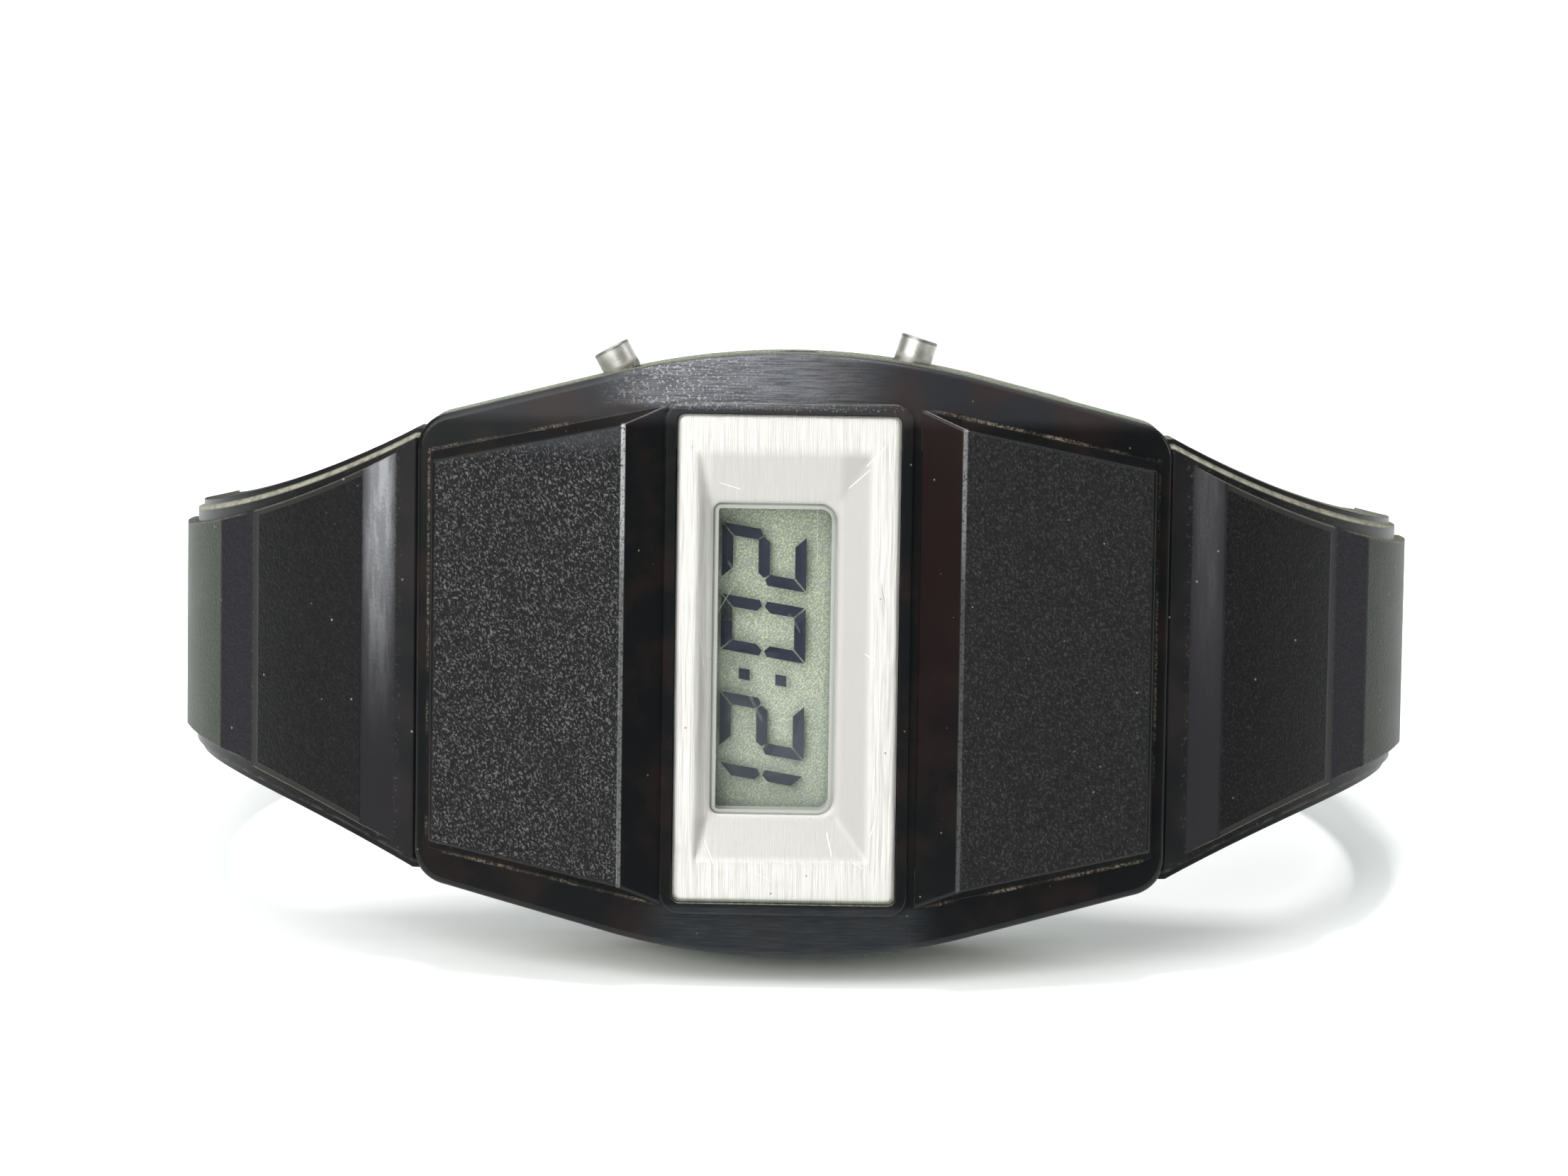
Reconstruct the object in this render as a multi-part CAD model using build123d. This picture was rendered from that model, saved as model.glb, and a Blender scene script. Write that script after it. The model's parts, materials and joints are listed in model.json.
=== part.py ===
from build123d import *

import os
from math import acos, asin, atan2, cos, degrees, hypot, radians, sin, tan

# A digital wristwatch standing on its long side, in millimetres.
# Every piece is drawn in the face's own frame: +X towards the six o'clock strap, +Y towards the
# pushers, +Z out of the dial, with the front of the rim at Z = 0 and the case centre at X = Y = 0.
# The last lines turn the whole watch onto its side, leaning back on the case and the buckle.

# Case
case_length = 44.1
case_height = 35.3
case_depth = 7.5
end_height = 26.8
crown_share = 0.725
side_flare = 0.5
corner_round = 2.2
rim_round = 0.38
brow_half = 6.0
brow_slope = 8.0
brow_bend = 28.0
cavity_length = 26.0
cavity_height = 26.4
cavity_round = 3.0
cavity_roof = 2.2

# Raised blocks left and right of the metal plate
block_height = 1.3
block_root = 0.3
block_inner_foot = 7.4
block_inner_top = 9.85
block_outer_top = 20.9
block_outer_foot = 21.2
block_inner_foot_height = 29.1
block_inner_top_height = 26.8
block_outer_top_height = 22.2
block_outer_foot_height = 23.3
block_round = 0.2

# Metal face plate, its dish and its window
plate_x = -0.28
plate_y = -0.13
plate_length = 13.0
plate_height = 28.5
plate_thick = 1.2
plate_round = 0.45
plate_gap = 0.05
plate_sink = 0.05
ridge_width = 0.7
ridge_height = 0.35
ridge_round = 0.12
dish_left = -5.5
dish_right = 4.65
dish_half_height = 12.0
dish_depth = 0.75
dish_floor_margin = 0.22
window_x = -1.05
window_y = -0.17
window_length = 7.23
window_height = 18.25
window_left_round = 0.5
window_right_round = 1.0

# Lens and its gasket
lens_gap = 0.12
lens_rise = 0.14
lens_bevel = 0.22
lens_flange = 0.75
lens_flange_thick = 0.8
lens_gasket_width = 0.6
lens_gasket_thick = 0.7
seat_gap = 0.05

# Display
display_x = -1.7
display_gap = 0.2
polariser_thick = 0.1
glass_thick = 0.5
cell_gap = 0.04
reflector_thick = 0.15
glass_height = 21.6
front_glass_length = 13.2
rear_glass_length = 10.4
digit_height = 4.97
digit_width = 3.27
digit_stroke = 0.66
digit_slant = 9.3
digit_hair = 0.07
digit_pitch = 4.2
colon_pitch = 2.88
colon_y = -1.45
colon_spread = 2.15
colon_size = 0.64

# Module: frame, board and what is on it
module_gap = 0.3
module_leaf_room = 2.0
module_round = 2.6
module_roof_gap = 0.1
module_floor = 0.5
board_thick = 0.6
board_inset = 0.3
zebra_width = 0.8
zebra_x_inset = 0.7
chip_diameter = 6.0
chip_height = 0.8
chip_x = 6.4
chip_y = -6.2
cell_diameter = 11.6
cell_thick = 2.0
cell_step = 0.35
cell_inset = 7.7
cell_y = 2.6
strap_clip_thick = 0.2
strap_clip_width = 4.4
strap_clip_overhang = 1.4
crystal_diameter = 1.9
crystal_length = 6.0
crystal_inset = 3.1
crystal_y = 4.2
trimmer_diameter = 3.0
trimmer_height = 1.3
trimmer_x = 4.4
trimmer_y = 6.8
trimmer_slot = 0.5
lamp_diameter = 1.6
lamp_length = 4.6
lamp_x = 8.4
lamp_y = 3.0
lamp_pocket_gap = 0.15
module_screw_inset = 1.9
module_screw_diameter = 1.0
module_screw_head = 2.0
module_screw_head_height = 0.5

# Case back, its gasket and its screws
back_thick = 0.9
back_length = 33.5
back_shift = 0.75
back_margin = 0.12
back_round = 2.2
back_edge_round = 0.3
back_gasket_width = 0.55
back_gasket_thick = 0.4
back_gasket_margin = 0.2
back_screw_x = 14.8
back_screw_y = 10.8
back_screw_diameter = 1.2
back_screw_length = 3.2
back_screw_head = 2.4
back_screw_head_height = 0.5
screw_gap = 0.05
screw_slot = 0.35
screw_slot_depth = 0.2

# Pushers: two proud ones and one sunk below the rim, which only a pointed tool reaches
pusher_depth = 4.4
pusher_diameter = 2.2
pusher_bore_gap = 0.07
pusher_travel = 0.7
pusher_proud = 1.5
pusher_head = 2.3
pusher_edge_round = 0.12
pusher_spring_room = 1.2
pusher_web = 0.8
stem_diameter = 1.0
stem_bore_gap = 0.05
stem_tail = 0.8
clip_diameter = 2.0
clip_thick = 0.25
clip_gap = 0.05
clip_groove = 0.15
clip_face_diameter = 2.6
seal_thick = 0.26
seal_inset = 0.35
coil_wire = 0.16
coil_turns = 2.5
coil_diameter = 1.5
light_pusher_x = -10.2
light_pusher_tilt = 29.0
mode_pusher_x = 6.8
mode_pusher_tilt = -17.5
set_pusher_x = 0.2
set_pusher_sink = 1.9
set_pusher_head = 1.3
leaf_thick = 0.15
leaf_width = 1.6
leaf_reach = 2.2
leaf_gap = 0.06

# Band: two moulded halves that keep their curl
band_thick = 2.4
band_near_half = 12.95
band_mid_half = 9.6
band_far_half = 7.5
band_step = 0.35
band_step_width = 0.4
band_root_x = 22.15
band_root_depth = 2.14
front_bend_radius = 18.6
back_bend_radius = 22.0
band_root_angle = 11.0
band_wedge_angle = 38.0
tail_gap = 3.5
tail_round = 3.6
band_block_height = 0.65
band_block_root = 0.3
band_block_near_half = 12.1
band_block_mid_half = 8.55
band_block_far_half = 6.25
band_block_end_angle = 94.0
hole_width = 2.2
hole_length = 1.5
hole_first = 6.5
hole_pitch = 6.2
hole_count = 6

# Hinge between the case and each half of the band
hinge_x = 24.1
hinge_depth = 5.0
hinge_gap = 0.1
wedge_depth = 6.95
lug_inner = 8.0
lug_width = 2.4
lug_radius = 1.45
lug_rise = 0.2
lug_side_gap = 0.15
lug_pocket_gap = 0.15
pocket_front_angle = 143.0
pocket_rear_angle = 216.0
bar_diameter = 1.5
bar_bore_gap = 0.05
bar_end_gap = 0.1
pivot_diameter = 0.9
pivot_gap = 0.03
pivot_length = 1.2
bar_collar_length = 0.5
bar_collar_depth = 0.12

# Buckle, tongue and keeper
buckle_side_gap = 0.3
buckle_arm = 1.8
buckle_thick = 2.0
buckle_length = 9.6
buckle_end = 1.8
buckle_heel = 1.4
buckle_drop = 0.2
buckle_round = 0.5
buckle_bar_diameter = 1.2
tongue_width = 1.7
tongue_thick = 0.9
tongue_eye = 2.2
tongue_slot = 2.5
tongue_tip = 0.7
tongue_rest_gap = 0.05
keeper_width = 4.5
keeper_wall = 1.2
keeper_skin = 1.0
keeper_gap = 0.15
keeper_room = 2.6
keeper_round = 0.4
keeper_start = 0.4
keeper_travel = 3.5
keeper_end_gap = 4.3

# One overrun serves every cut
over = 1.0


def polygon(points):
    """A closed face through points in the XY plane."""
    return make_face(Polyline(*points, close=True))


def box_at(x, y, top, length, height, depth):
    """A box whose top face is centred on x, y at the level top."""
    return Pos(x, y, top - depth / 2) * Box(length, height, depth)


def slab(face, top, depth):
    """A face of the XY plane made into a plate that reaches depth down from the level top."""
    return extrude(Pos(0, 0, top - depth) * face, depth)


def drum(x, y, top, diameter, depth):
    """A disc standing across the dial whose upper face is at the level top."""
    return Pos(x, y, top - depth / 2) * Cylinder(diameter / 2, depth)


def rounded(length, height, radius):
    return RectangleRounded(length, height, radius)


def extrude_side(face, half):
    """A face of the side view (X, Z) made into a solid reaching half each way along Y."""
    return extrude(Plane.XZ * face, half, both=True)


# Levels under the dial, worked out from the thicknesses
plate_top = -plate_sink
plate_bottom = plate_top - plate_thick
dish_floor = plate_top - dish_depth
lens_top = dish_floor + lens_rise
flange_top = plate_bottom - seat_gap
flange_bottom = flange_top - lens_flange_thick
polariser_top = flange_bottom - display_gap
front_glass_top = polariser_top - polariser_thick
segment_top = front_glass_top - glass_thick
rear_glass_top = segment_top - cell_gap
reflector_top = rear_glass_top - glass_thick
reflector_bottom = reflector_top - reflector_thick
module_roof = -cavity_roof - module_roof_gap
module_base = reflector_bottom - seat_gap - module_floor
board_bottom = module_base - board_thick
wall_opening_length = window_length + 2 * (lens_flange + lens_gasket_width)
wall_opening_height = window_height + 2 * (lens_flange + lens_gasket_width)


# Case

corner_drop = (case_height - end_height) / 2
widest_crown = hypot(case_length / 2, corner_drop) ** 2 / (2 * corner_drop)
crown_radius = crown_share * widest_crown
crown_centre = case_height / 2 - crown_radius
corner_reach = hypot(case_length / 2, end_height / 2 - crown_centre)
corner_bearing = atan2(end_height / 2 - crown_centre, case_length / 2)
flank_bearing = corner_bearing + acos(crown_radius / corner_reach)


def outline_height(x, inset):
    """Half the case's height at the distance x from its centre."""
    radius = crown_radius - inset
    touch_x = radius * cos(flank_bearing)
    if abs(x) <= touch_x:
        return crown_centre + radius * cos(asin(x / radius))
    touch_y = crown_centre + radius * sin(flank_bearing)
    return touch_y - (abs(x) - touch_x) / tan(flank_bearing)


def case_outline(half_length, inset):
    """The case from the front: a crowned top and bottom between straight flanks."""
    radius = crown_radius - inset
    touch_x = radius * cos(flank_bearing)
    touch_y = crown_centre + radius * sin(flank_bearing)
    end_y = outline_height(half_length, inset)
    edges = []
    for side in (1, -1):
        left, right = (-touch_x, side * touch_y), (touch_x, side * touch_y)
        edges.append(ThreePointArc(left, (0, side * (crown_centre + radius)), right))
        edges.append(Line(right, (half_length, side * end_y)))
        edges.append(Line(left, (-half_length, side * end_y)))
        edges.append(Line((side * half_length, end_y), (side * half_length, -end_y)))
    return make_face(edges)


def case_shell():
    """The outer body: flared side walls, and a front that falls away towards both straps."""
    outline = case_outline(case_length / 2, 0)
    body = extrude(outline, case_depth, dir=(0, 0, -1), taper=-side_flare)
    uprights = [e for e in body.edges() if abs(e.center().Z + case_depth / 2) < case_depth / 10
                and abs(e.center().X) > case_length / 3]
    body = fillet(uprights, corner_round)
    for side in (1, -1):
        body -= extrude_side(brow_cut(side), case_height)
    front = [e for e in body.edges() if e.center().Z > -case_depth / 2
             and abs(e.center().Y) > end_height / 2 - corner_round]
    return fillet(front, rim_round)


def brow_point(turn):
    """A point of the bend where the front turns down towards a strap."""
    return brow_half + brow_bend * sin(radians(turn)), brow_bend * (cos(radians(turn)) - 1)


def brow_cut(side):
    """What is cut from the front on one side: above a bend, and then above a straight slope."""
    reach = case_length / 2 + over
    middle_x, middle_z = brow_point(brow_slope / 2)
    bend_x, bend_z = brow_point(brow_slope)
    fall = bend_z - (reach - bend_x) * tan(radians(brow_slope))
    edges = [ThreePointArc((side * brow_half, 0), (side * middle_x, middle_z), (side * bend_x, bend_z))]
    points = [(bend_x, bend_z), (reach, fall), (reach, over), (brow_half, over), (brow_half, 0)]
    edges += [Line((side * a[0], a[1]), (side * b[0], b[1])) for a, b in zip(points, points[1:])]
    return make_face(edges)


def raised_block():
    """One grained block: a four-sided hip whose foot lies on the sloping front."""
    slope = radians(brow_slope)
    start_x, start_z = brow_point(brow_slope)
    ramp = Plane(origin=(start_x, 0, start_z), x_dir=(cos(slope), 0, -sin(slope)), z_dir=(sin(slope), 0, cos(slope)))

    def four_sided(inner, inner_height, outer, outer_height, level):
        near, far = (inner - start_x) / cos(slope), (outer - start_x) / cos(slope)
        points = [(near, inner_height / 2), (far, outer_height / 2), (far, -outer_height / 2), (near, -inner_height / 2)]
        return ramp * (Pos(0, 0, level) * polygon(points))

    foot = four_sided(block_inner_foot, block_inner_foot_height, block_outer_foot, block_outer_foot_height, 0)
    top = four_sided(block_inner_top, block_inner_top_height, block_outer_top, block_outer_top_height, block_height)
    block = loft([foot, top])
    crest = [e for e in block.edges() if (ramp.to_local_coords(e.center())).Z > block_height / 3]
    return fillet(crest, block_round) + extrude(foot, -block_root)


def plate_ridge():
    """The thin raised frame of moulding that the metal plate is set in."""
    outer = rounded(plate_length + 2 * ridge_width, plate_height + 2 * ridge_width, plate_round + ridge_width)
    ridge = extrude(outer, ridge_height) + extrude(outer, -block_root)
    crest = ridge.faces().sort_by(Axis.Z)[-1].edges()
    return Pos(plate_x, plate_y) * fillet(crest, ridge_round)


def pusher_axis_plane(x, tilt):
    """A plane on the side wall whose +Z is a pusher's outward axis."""
    wall = outline_height(x, 0) + pusher_depth * tan(radians(side_flare))
    lean_x, lean_y = -sin(radians(tilt)), cos(radians(tilt))
    return Plane(origin=(x, wall, -pusher_depth), x_dir=(lean_y, -lean_x, 0), z_dir=(lean_x, lean_y, 0))


def along(plane, diameter, start, stop):
    """A round bar on a pusher's axis between two distances from the wall, the outer one first."""
    return plane * (Pos(0, 0, (start + stop) / 2) * Cylinder(diameter / 2, start - stop))


pushers = {
    "light_pusher": (pusher_axis_plane(light_pusher_x, light_pusher_tilt), 0, pusher_head),
    "mode_pusher": (pusher_axis_plane(mode_pusher_x, mode_pusher_tilt), 0, pusher_head),
    "set_pusher": (pusher_axis_plane(set_pusher_x, 0), set_pusher_sink, set_pusher_head),
}


def pusher_levels(sink, head):
    """Distances from the wall along a pusher's axis, outward positive."""
    face = pusher_proud - sink
    shoulder = face - head
    floor = shoulder - pusher_spring_room
    clip_face = floor - pusher_web
    return face, shoulder, floor, clip_face


def pusher_bores():
    """Stepped bores: the head's and spring's, the stem's, and a flat inside for the retaining clip."""
    cuts = None
    for plane, sink, head in pushers.values():
        face, shoulder, floor, clip_face = pusher_levels(sink, head)
        wide = along(plane, pusher_diameter + 2 * pusher_bore_gap, pusher_proud + over, floor)
        narrow = along(plane, stem_diameter + 2 * stem_bore_gap, floor + over, clip_face - over)
        flat = along(plane, clip_face_diameter, clip_face, clip_face - pusher_travel - 2 * over)
        cut = wide + narrow + flat
        cuts = cut if cuts is None else cuts + cut
    return cuts


def hinge_cylinder(radius, half):
    return Pos(hinge_x, 0, -hinge_depth) * Rot(90, 0, 0) * Cylinder(radius, 2 * half)


def case_lugs():
    """Two ears at one end of the case that hold the ends of a strap bar."""
    root = hinge_x - band_end_radius - over
    arm = [(root, -hinge_depth + lug_rise), (hinge_x, -hinge_depth + lug_rise),
           (hinge_x, -hinge_depth - lug_radius), (root, -hinge_depth - lug_radius)]
    ear = extrude_side(polygon(arm), lug_width / 2)
    ear += hinge_cylinder(lug_radius, lug_width / 2)
    middle = lug_inner + lug_width / 2
    lugs = Pos(0, middle, 0) * ear + Pos(0, -middle, 0) * ear
    return lugs - hinge_cylinder(pivot_diameter / 2 + pivot_gap, lug_inner + pivot_length + pivot_gap)


def both_ends(shape):
    return [shape, mirror(shape, Plane.YZ)]


def back_screw_places():
    return [(sx * back_screw_x, sy * back_screw_y) for sx in (1, -1) for sy in (1, -1)]


def case_body():
    body = case_shell()
    for block in both_ends(raised_block()):
        body += block
    body += plate_ridge()
    pocket = rounded(plate_length + 2 * plate_gap, plate_height + 2 * plate_gap, plate_round + plate_gap)
    body -= Pos(plate_x, plate_y) * slab(pocket, over, over - plate_bottom)
    body -= box_at(window_x, window_y, 0, wall_opening_length, wall_opening_height, case_depth)
    cavity = rounded(cavity_length, cavity_height, cavity_round)
    body -= slab(cavity, -cavity_roof, case_depth)
    body -= slab(gasket_ring(seat_gap), -case_depth + back_gasket_thick, back_gasket_thick + over)
    for x, y in back_screw_places():
        bore = back_screw_diameter + 2 * screw_gap
        body -= drum(x, y, -case_depth + back_screw_length, bore, back_screw_length + over)
    seat = hinge_cylinder(band_end_radius + hinge_gap, case_height)
    for cut in both_ends(seat):
        body -= cut
    for lugs in both_ends(case_lugs()):
        body += lugs
    return body - pusher_bores()


# Metal plate, lens and display

def window_outline(grow):
    """The window from the front: small corner rounds on its left, larger ones on its right."""
    length, height = window_length + 2 * grow, window_height + 2 * grow
    small, large = window_left_round + grow, window_right_round + grow
    face = Rectangle(length, height)
    face = fillet(face.vertices().sort_by(Axis.X)[:2], small)
    return Pos(window_x, window_y) * fillet(face.vertices().sort_by(Axis.X)[-2:], large)


def face_plate():
    """A metal plate with a hipped dish that falls to the window on all four sides."""
    plate = Pos(plate_x, plate_y) * slab(rounded(plate_length, plate_height, plate_round), plate_top, plate_thick)
    floor_left = window_x - window_length / 2 - dish_floor_margin
    floor_right = window_x + window_length / 2 + dish_floor_margin
    floor_half = window_height / 2 + dish_floor_margin
    top = [(dish_left, dish_half_height), (dish_right, dish_half_height),
           (dish_right, -dish_half_height), (dish_left, -dish_half_height)]
    floor = [(floor_left, window_y + floor_half), (floor_right, window_y + floor_half),
             (floor_right, window_y - floor_half), (floor_left, window_y - floor_half)]
    dish = loft([Pos(0, 0, plate_top) * polygon(top), Pos(0, 0, dish_floor) * polygon(floor)])
    return plate - dish - slab(window_outline(0), over, over + case_depth)


def flange_outline(grow):
    length = window_length + 2 * (lens_flange + grow)
    height = window_height + 2 * (lens_flange + grow)
    return Pos(window_x, window_y) * rounded(length, height, window_right_round + grow)


def window_lens():
    """A clear moulding: a bevelled pane that fills the window, over a wider flange."""
    pane = slab(window_outline(-lens_gap), lens_top, lens_top - flange_top)
    crest = pane.faces().sort_by(Axis.Z)[-1].edges()
    pane = chamfer(crest, lens_bevel)
    return pane + slab(flange_outline(0), flange_top, lens_flange_thick)


def lens_gasket():
    ring = flange_outline(lens_gasket_width - seat_gap) - flange_outline(seat_gap)
    return slab(ring, flange_top - seat_gap, lens_gasket_thick)


def glass_pane(length, top, thick):
    return box_at(window_x, window_y, top, length, glass_height, thick)


def upper_bar():
    """The top stroke of a digit, in stroke widths and half sizes of the digit."""
    half, top = digit_width / 2, digit_height / 2
    low = top - digit_stroke
    return [(-half + digit_hair, top), (half - digit_hair, top),
            (half - digit_stroke - digit_hair, low), (-half + digit_stroke + digit_hair, low)]


def middle_bar():
    tip = digit_width / 2 - digit_stroke * 2 / 3
    shoulder, half = tip - digit_stroke / 3, digit_stroke / 2
    return [(-tip, 0), (-shoulder, half), (shoulder, half), (tip, 0), (shoulder, -half), (-shoulder, -half)]


def side_bar():
    """The upper right stroke of a digit."""
    half, top = digit_width / 2, digit_height / 2
    inner = half - digit_stroke
    middle = half - digit_stroke / 2
    return [(half, top - digit_hair), (half, digit_stroke / 3), (middle, digit_hair),
            (inner, digit_stroke / 2 + digit_hair), (inner, top - digit_stroke - digit_hair)]


def flipped(points, across, down):
    return [(across * p, down * q) for p, q in points]


strokes = {
    "top": upper_bar(),
    "middle": middle_bar(),
    "bottom": flipped(upper_bar(), 1, -1),
    "upper_right": side_bar(),
    "lower_right": flipped(side_bar(), 1, -1),
    "upper_left": flipped(side_bar(), -1, 1),
    "lower_left": flipped(side_bar(), -1, -1),
}
two = ["top", "upper_right", "middle", "lower_left", "bottom"]
zero = ["top", "upper_right", "lower_right", "bottom", "lower_left", "upper_left"]
one = ["upper_right", "lower_right"]


def display_face(points, middle_y):
    """A stroke of the display, slanted, with the digits' tops towards -X and read along +Y."""
    lean = tan(radians(digit_slant))
    return polygon([(display_x - q, middle_y + p + q * lean) for p, q in points])


def lcd_segments():
    """The lit strokes of 12:02: thin plates in the cell between the two panes."""
    places = [colon_y - colon_pitch - digit_pitch, colon_y - colon_pitch,
              colon_y + colon_pitch, colon_y + colon_pitch + digit_pitch]
    faces = []
    for middle_y, names in zip(places, (one, two, zero, two)):
        faces += [display_face(strokes[name], middle_y) for name in names]
    half = colon_size / 2
    dot = [(-half, half), (half, half), (half, -half), (-half, -half)]
    for side in (1, -1):
        faces.append(display_face([(p, q + side * colon_spread / 2) for p, q in dot], colon_y))
    return [slab(face, segment_top, cell_gap) for face in faces]


# Module: what is near an end of it keeps its distance from that end

module_length = cavity_length - 2 * module_gap
module_bottom = cavity_height / 2 - module_gap
module_top = cavity_height / 2 - module_leaf_room
module_screw_x = module_length / 2 - module_screw_inset
module_screw_y = module_screw_head - module_bottom
cell_x = cell_inset - module_length / 2
crystal_x = module_length / 2 - crystal_inset


def module_outline(inset):
    height = module_top + module_bottom - 2 * inset
    middle = (module_top - module_bottom) / 2
    return Pos(0, middle) * rounded(module_length - 2 * inset, height, module_round - inset)


def zebra_places():
    reach = front_glass_length / 2 - zebra_x_inset
    return [window_x - reach, window_x + reach]


def module_frame():
    """The tray that holds the glass, with slots for the contact strips and a pocket for the lamp."""
    tray = slab(module_outline(0), module_roof, module_roof - module_base)
    room = 2 * seat_gap
    tray -= box_at(window_x, window_y, 0, front_glass_length + room, glass_height + room, -segment_top)
    tray -= box_at(window_x, window_y, 0, rear_glass_length + room, glass_height + room, -module_base - module_floor)
    for x in zebra_places():
        tray -= box_at(x, window_y, 0, zebra_width + room, glass_height - over, case_depth)
    pocket = lamp_diameter + 2 * lamp_pocket_gap
    tray -= box_at(lamp_x, lamp_y, 0, pocket, lamp_length + 2 * lamp_pocket_gap, case_depth)
    for x in (module_screw_x, -module_screw_x):
        tray -= drum(x, module_screw_y, 0, module_screw_diameter + 2 * screw_gap, case_depth)
    return tray


def zebra_strips():
    height = glass_height - over - 2 * seat_gap
    return [box_at(x, window_y, segment_top, zebra_width, height, segment_top - module_base) for x in zebra_places()]


def circuit_board():
    board = slab(module_outline(board_inset), module_base, board_thick)
    for x in (module_screw_x, -module_screw_x):
        board -= drum(x, module_screw_y, 0, module_screw_diameter + 2 * screw_gap, case_depth)
    return board


def module_screws():
    """Two screws from the board into the tray."""
    screws = []
    for x in (module_screw_x, -module_screw_x):
        head = drum(x, module_screw_y, board_bottom, module_screw_head, module_screw_head_height)
        shank = drum(x, module_screw_y, module_roof - over, module_screw_diameter,
                     module_roof - over - board_bottom)
        groove = box_at(x, module_screw_y, board_bottom - module_screw_head_height + screw_slot_depth,
                        module_screw_head, screw_slot, screw_slot_depth + over)
        screws.append(head + shank - groove)
    return screws


def timing_chip():
    """A blob of resin over the bare chip."""
    blob = drum(chip_x, chip_y, board_bottom, chip_diameter, chip_height)
    return fillet(blob.faces().sort_by(Axis.Z)[0].edges(), chip_height * 3 / 4)


def battery():
    """A button cell: a wide can with a narrower cap towards the board."""
    cap = drum(cell_x, cell_y, board_bottom - seat_gap, cell_diameter * 4 / 5, cell_step)
    can = drum(cell_x, cell_y, board_bottom - seat_gap - cell_step, cell_diameter, cell_thick - cell_step)
    return cap + fillet(can.edges().filter_by(GeomType.CIRCLE), cell_step / 2)


def battery_clip():
    """A sprung strap over the cell with a foot on the board at each side."""
    under = board_bottom - seat_gap - cell_thick - seat_gap
    reach = cell_diameter / 2 + seat_gap + strap_clip_thick
    top = box_at(cell_x, cell_y, under, 2 * reach, strap_clip_width, strap_clip_thick)
    clip = top
    for side in (1, -1):
        leg_x = cell_x + side * (reach - strap_clip_thick / 2)
        clip += box_at(leg_x, cell_y, board_bottom, strap_clip_thick, strap_clip_width, board_bottom - under)
        foot_x = cell_x + side * (reach + strap_clip_overhang / 2 - strap_clip_thick)
        clip += box_at(foot_x, cell_y, board_bottom, strap_clip_overhang, strap_clip_width, strap_clip_thick)
    return clip


def quartz_crystal():
    """A tuning fork's can, lying on the board."""
    can = Cylinder(crystal_diameter / 2, crystal_length)
    can = fillet(can.edges().filter_by(GeomType.CIRCLE), crystal_diameter / 8)
    return Pos(crystal_x, crystal_y, board_bottom - seat_gap - crystal_diameter / 2) * Rot(90, 0, 0) * can


def trimmer_capacitor():
    base = drum(trimmer_x, trimmer_y, board_bottom, trimmer_diameter, trimmer_height)
    groove = box_at(trimmer_x, trimmer_y, board_bottom - trimmer_height + screw_slot_depth,
                    trimmer_diameter * 3 / 4, trimmer_slot, screw_slot_depth + over)
    return base - groove


def micro_lamp():
    """A grain-of-wheat lamp that lights the glass from its edge."""
    bulb = Cylinder(lamp_diameter / 2, lamp_length)
    bulb = fillet(bulb.edges().sort_by(Axis.Z)[-1:], lamp_diameter / 3)
    return Pos(lamp_x, lamp_y, module_base + lamp_diameter / 2) * Rot(90, 0, 0) * bulb


def contact_leaf(plane, sink, head):
    """A leaf on the tray's edge that a pusher's stem meets at the end of its travel."""
    face, shoulder, floor, clip_face = pusher_levels(sink, head)
    meet = clip_face - clip_gap - clip_thick - stem_tail - pusher_travel - leaf_gap
    leaf = plane * (Pos(0, 0, meet - leaf_thick / 2) * Box(leaf_reach, leaf_width, leaf_thick))
    middle = plane.from_local_coords((0, 0, meet - leaf_thick / 2))
    level = middle.Y - module_top
    post = Pos(middle.X, module_top + level / 2, middle.Z) * Box(leaf_thick * 2, level, leaf_width)
    return leaf + post


# Case back

def gasket_ring(grow):
    """The ring round the cavity that the case back presses on."""
    inner = back_gasket_margin - grow
    outer = back_gasket_margin + back_gasket_width + grow
    rings = [rounded(cavity_length + 2 * m, cavity_height + 2 * m, cavity_round + m) for m in (outer, inner)]
    return rings[0] - rings[1]


def case_back():
    outline = case_outline(back_length / 2, back_margin - case_depth * tan(radians(side_flare)))
    ends = [v for v in outline.vertices() if abs(v.X) > back_length / 2 - back_round]
    plate = slab(fillet(ends, back_round), -case_depth, back_thick)
    plate = Pos(back_shift) * plate
    plate = fillet(plate.faces().sort_by(Axis.Z)[0].edges(), back_edge_round)
    for x, y in back_screw_places():
        plate -= drum(x, y, 0, back_screw_diameter + 2 * screw_gap, 2 * case_depth)
        sunk = back_screw_head + 2 * screw_gap
        plate -= drum(x, y, -case_depth - back_thick + back_screw_head_height, sunk, case_depth)
    return plate


def back_screws():
    screws = []
    for x, y in back_screw_places():
        low = -case_depth - back_thick
        head = drum(x, y, low + back_screw_head_height, back_screw_head, back_screw_head_height)
        head = chamfer(head.faces().sort_by(Axis.Z)[0].edges(), screw_slot_depth)
        top = -case_depth + back_screw_length - 2 * screw_gap
        shank = drum(x, y, top, back_screw_diameter, top - low - screw_slot_depth)
        for turn in (0, 90):
            blade = Box(back_screw_head * 3 / 5, screw_slot, 2 * screw_slot_depth)
            head -= Pos(x, y, low) * Rot(0, 0, turn) * blade
        screws.append(head + shank)
    return screws


# Pushers

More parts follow.
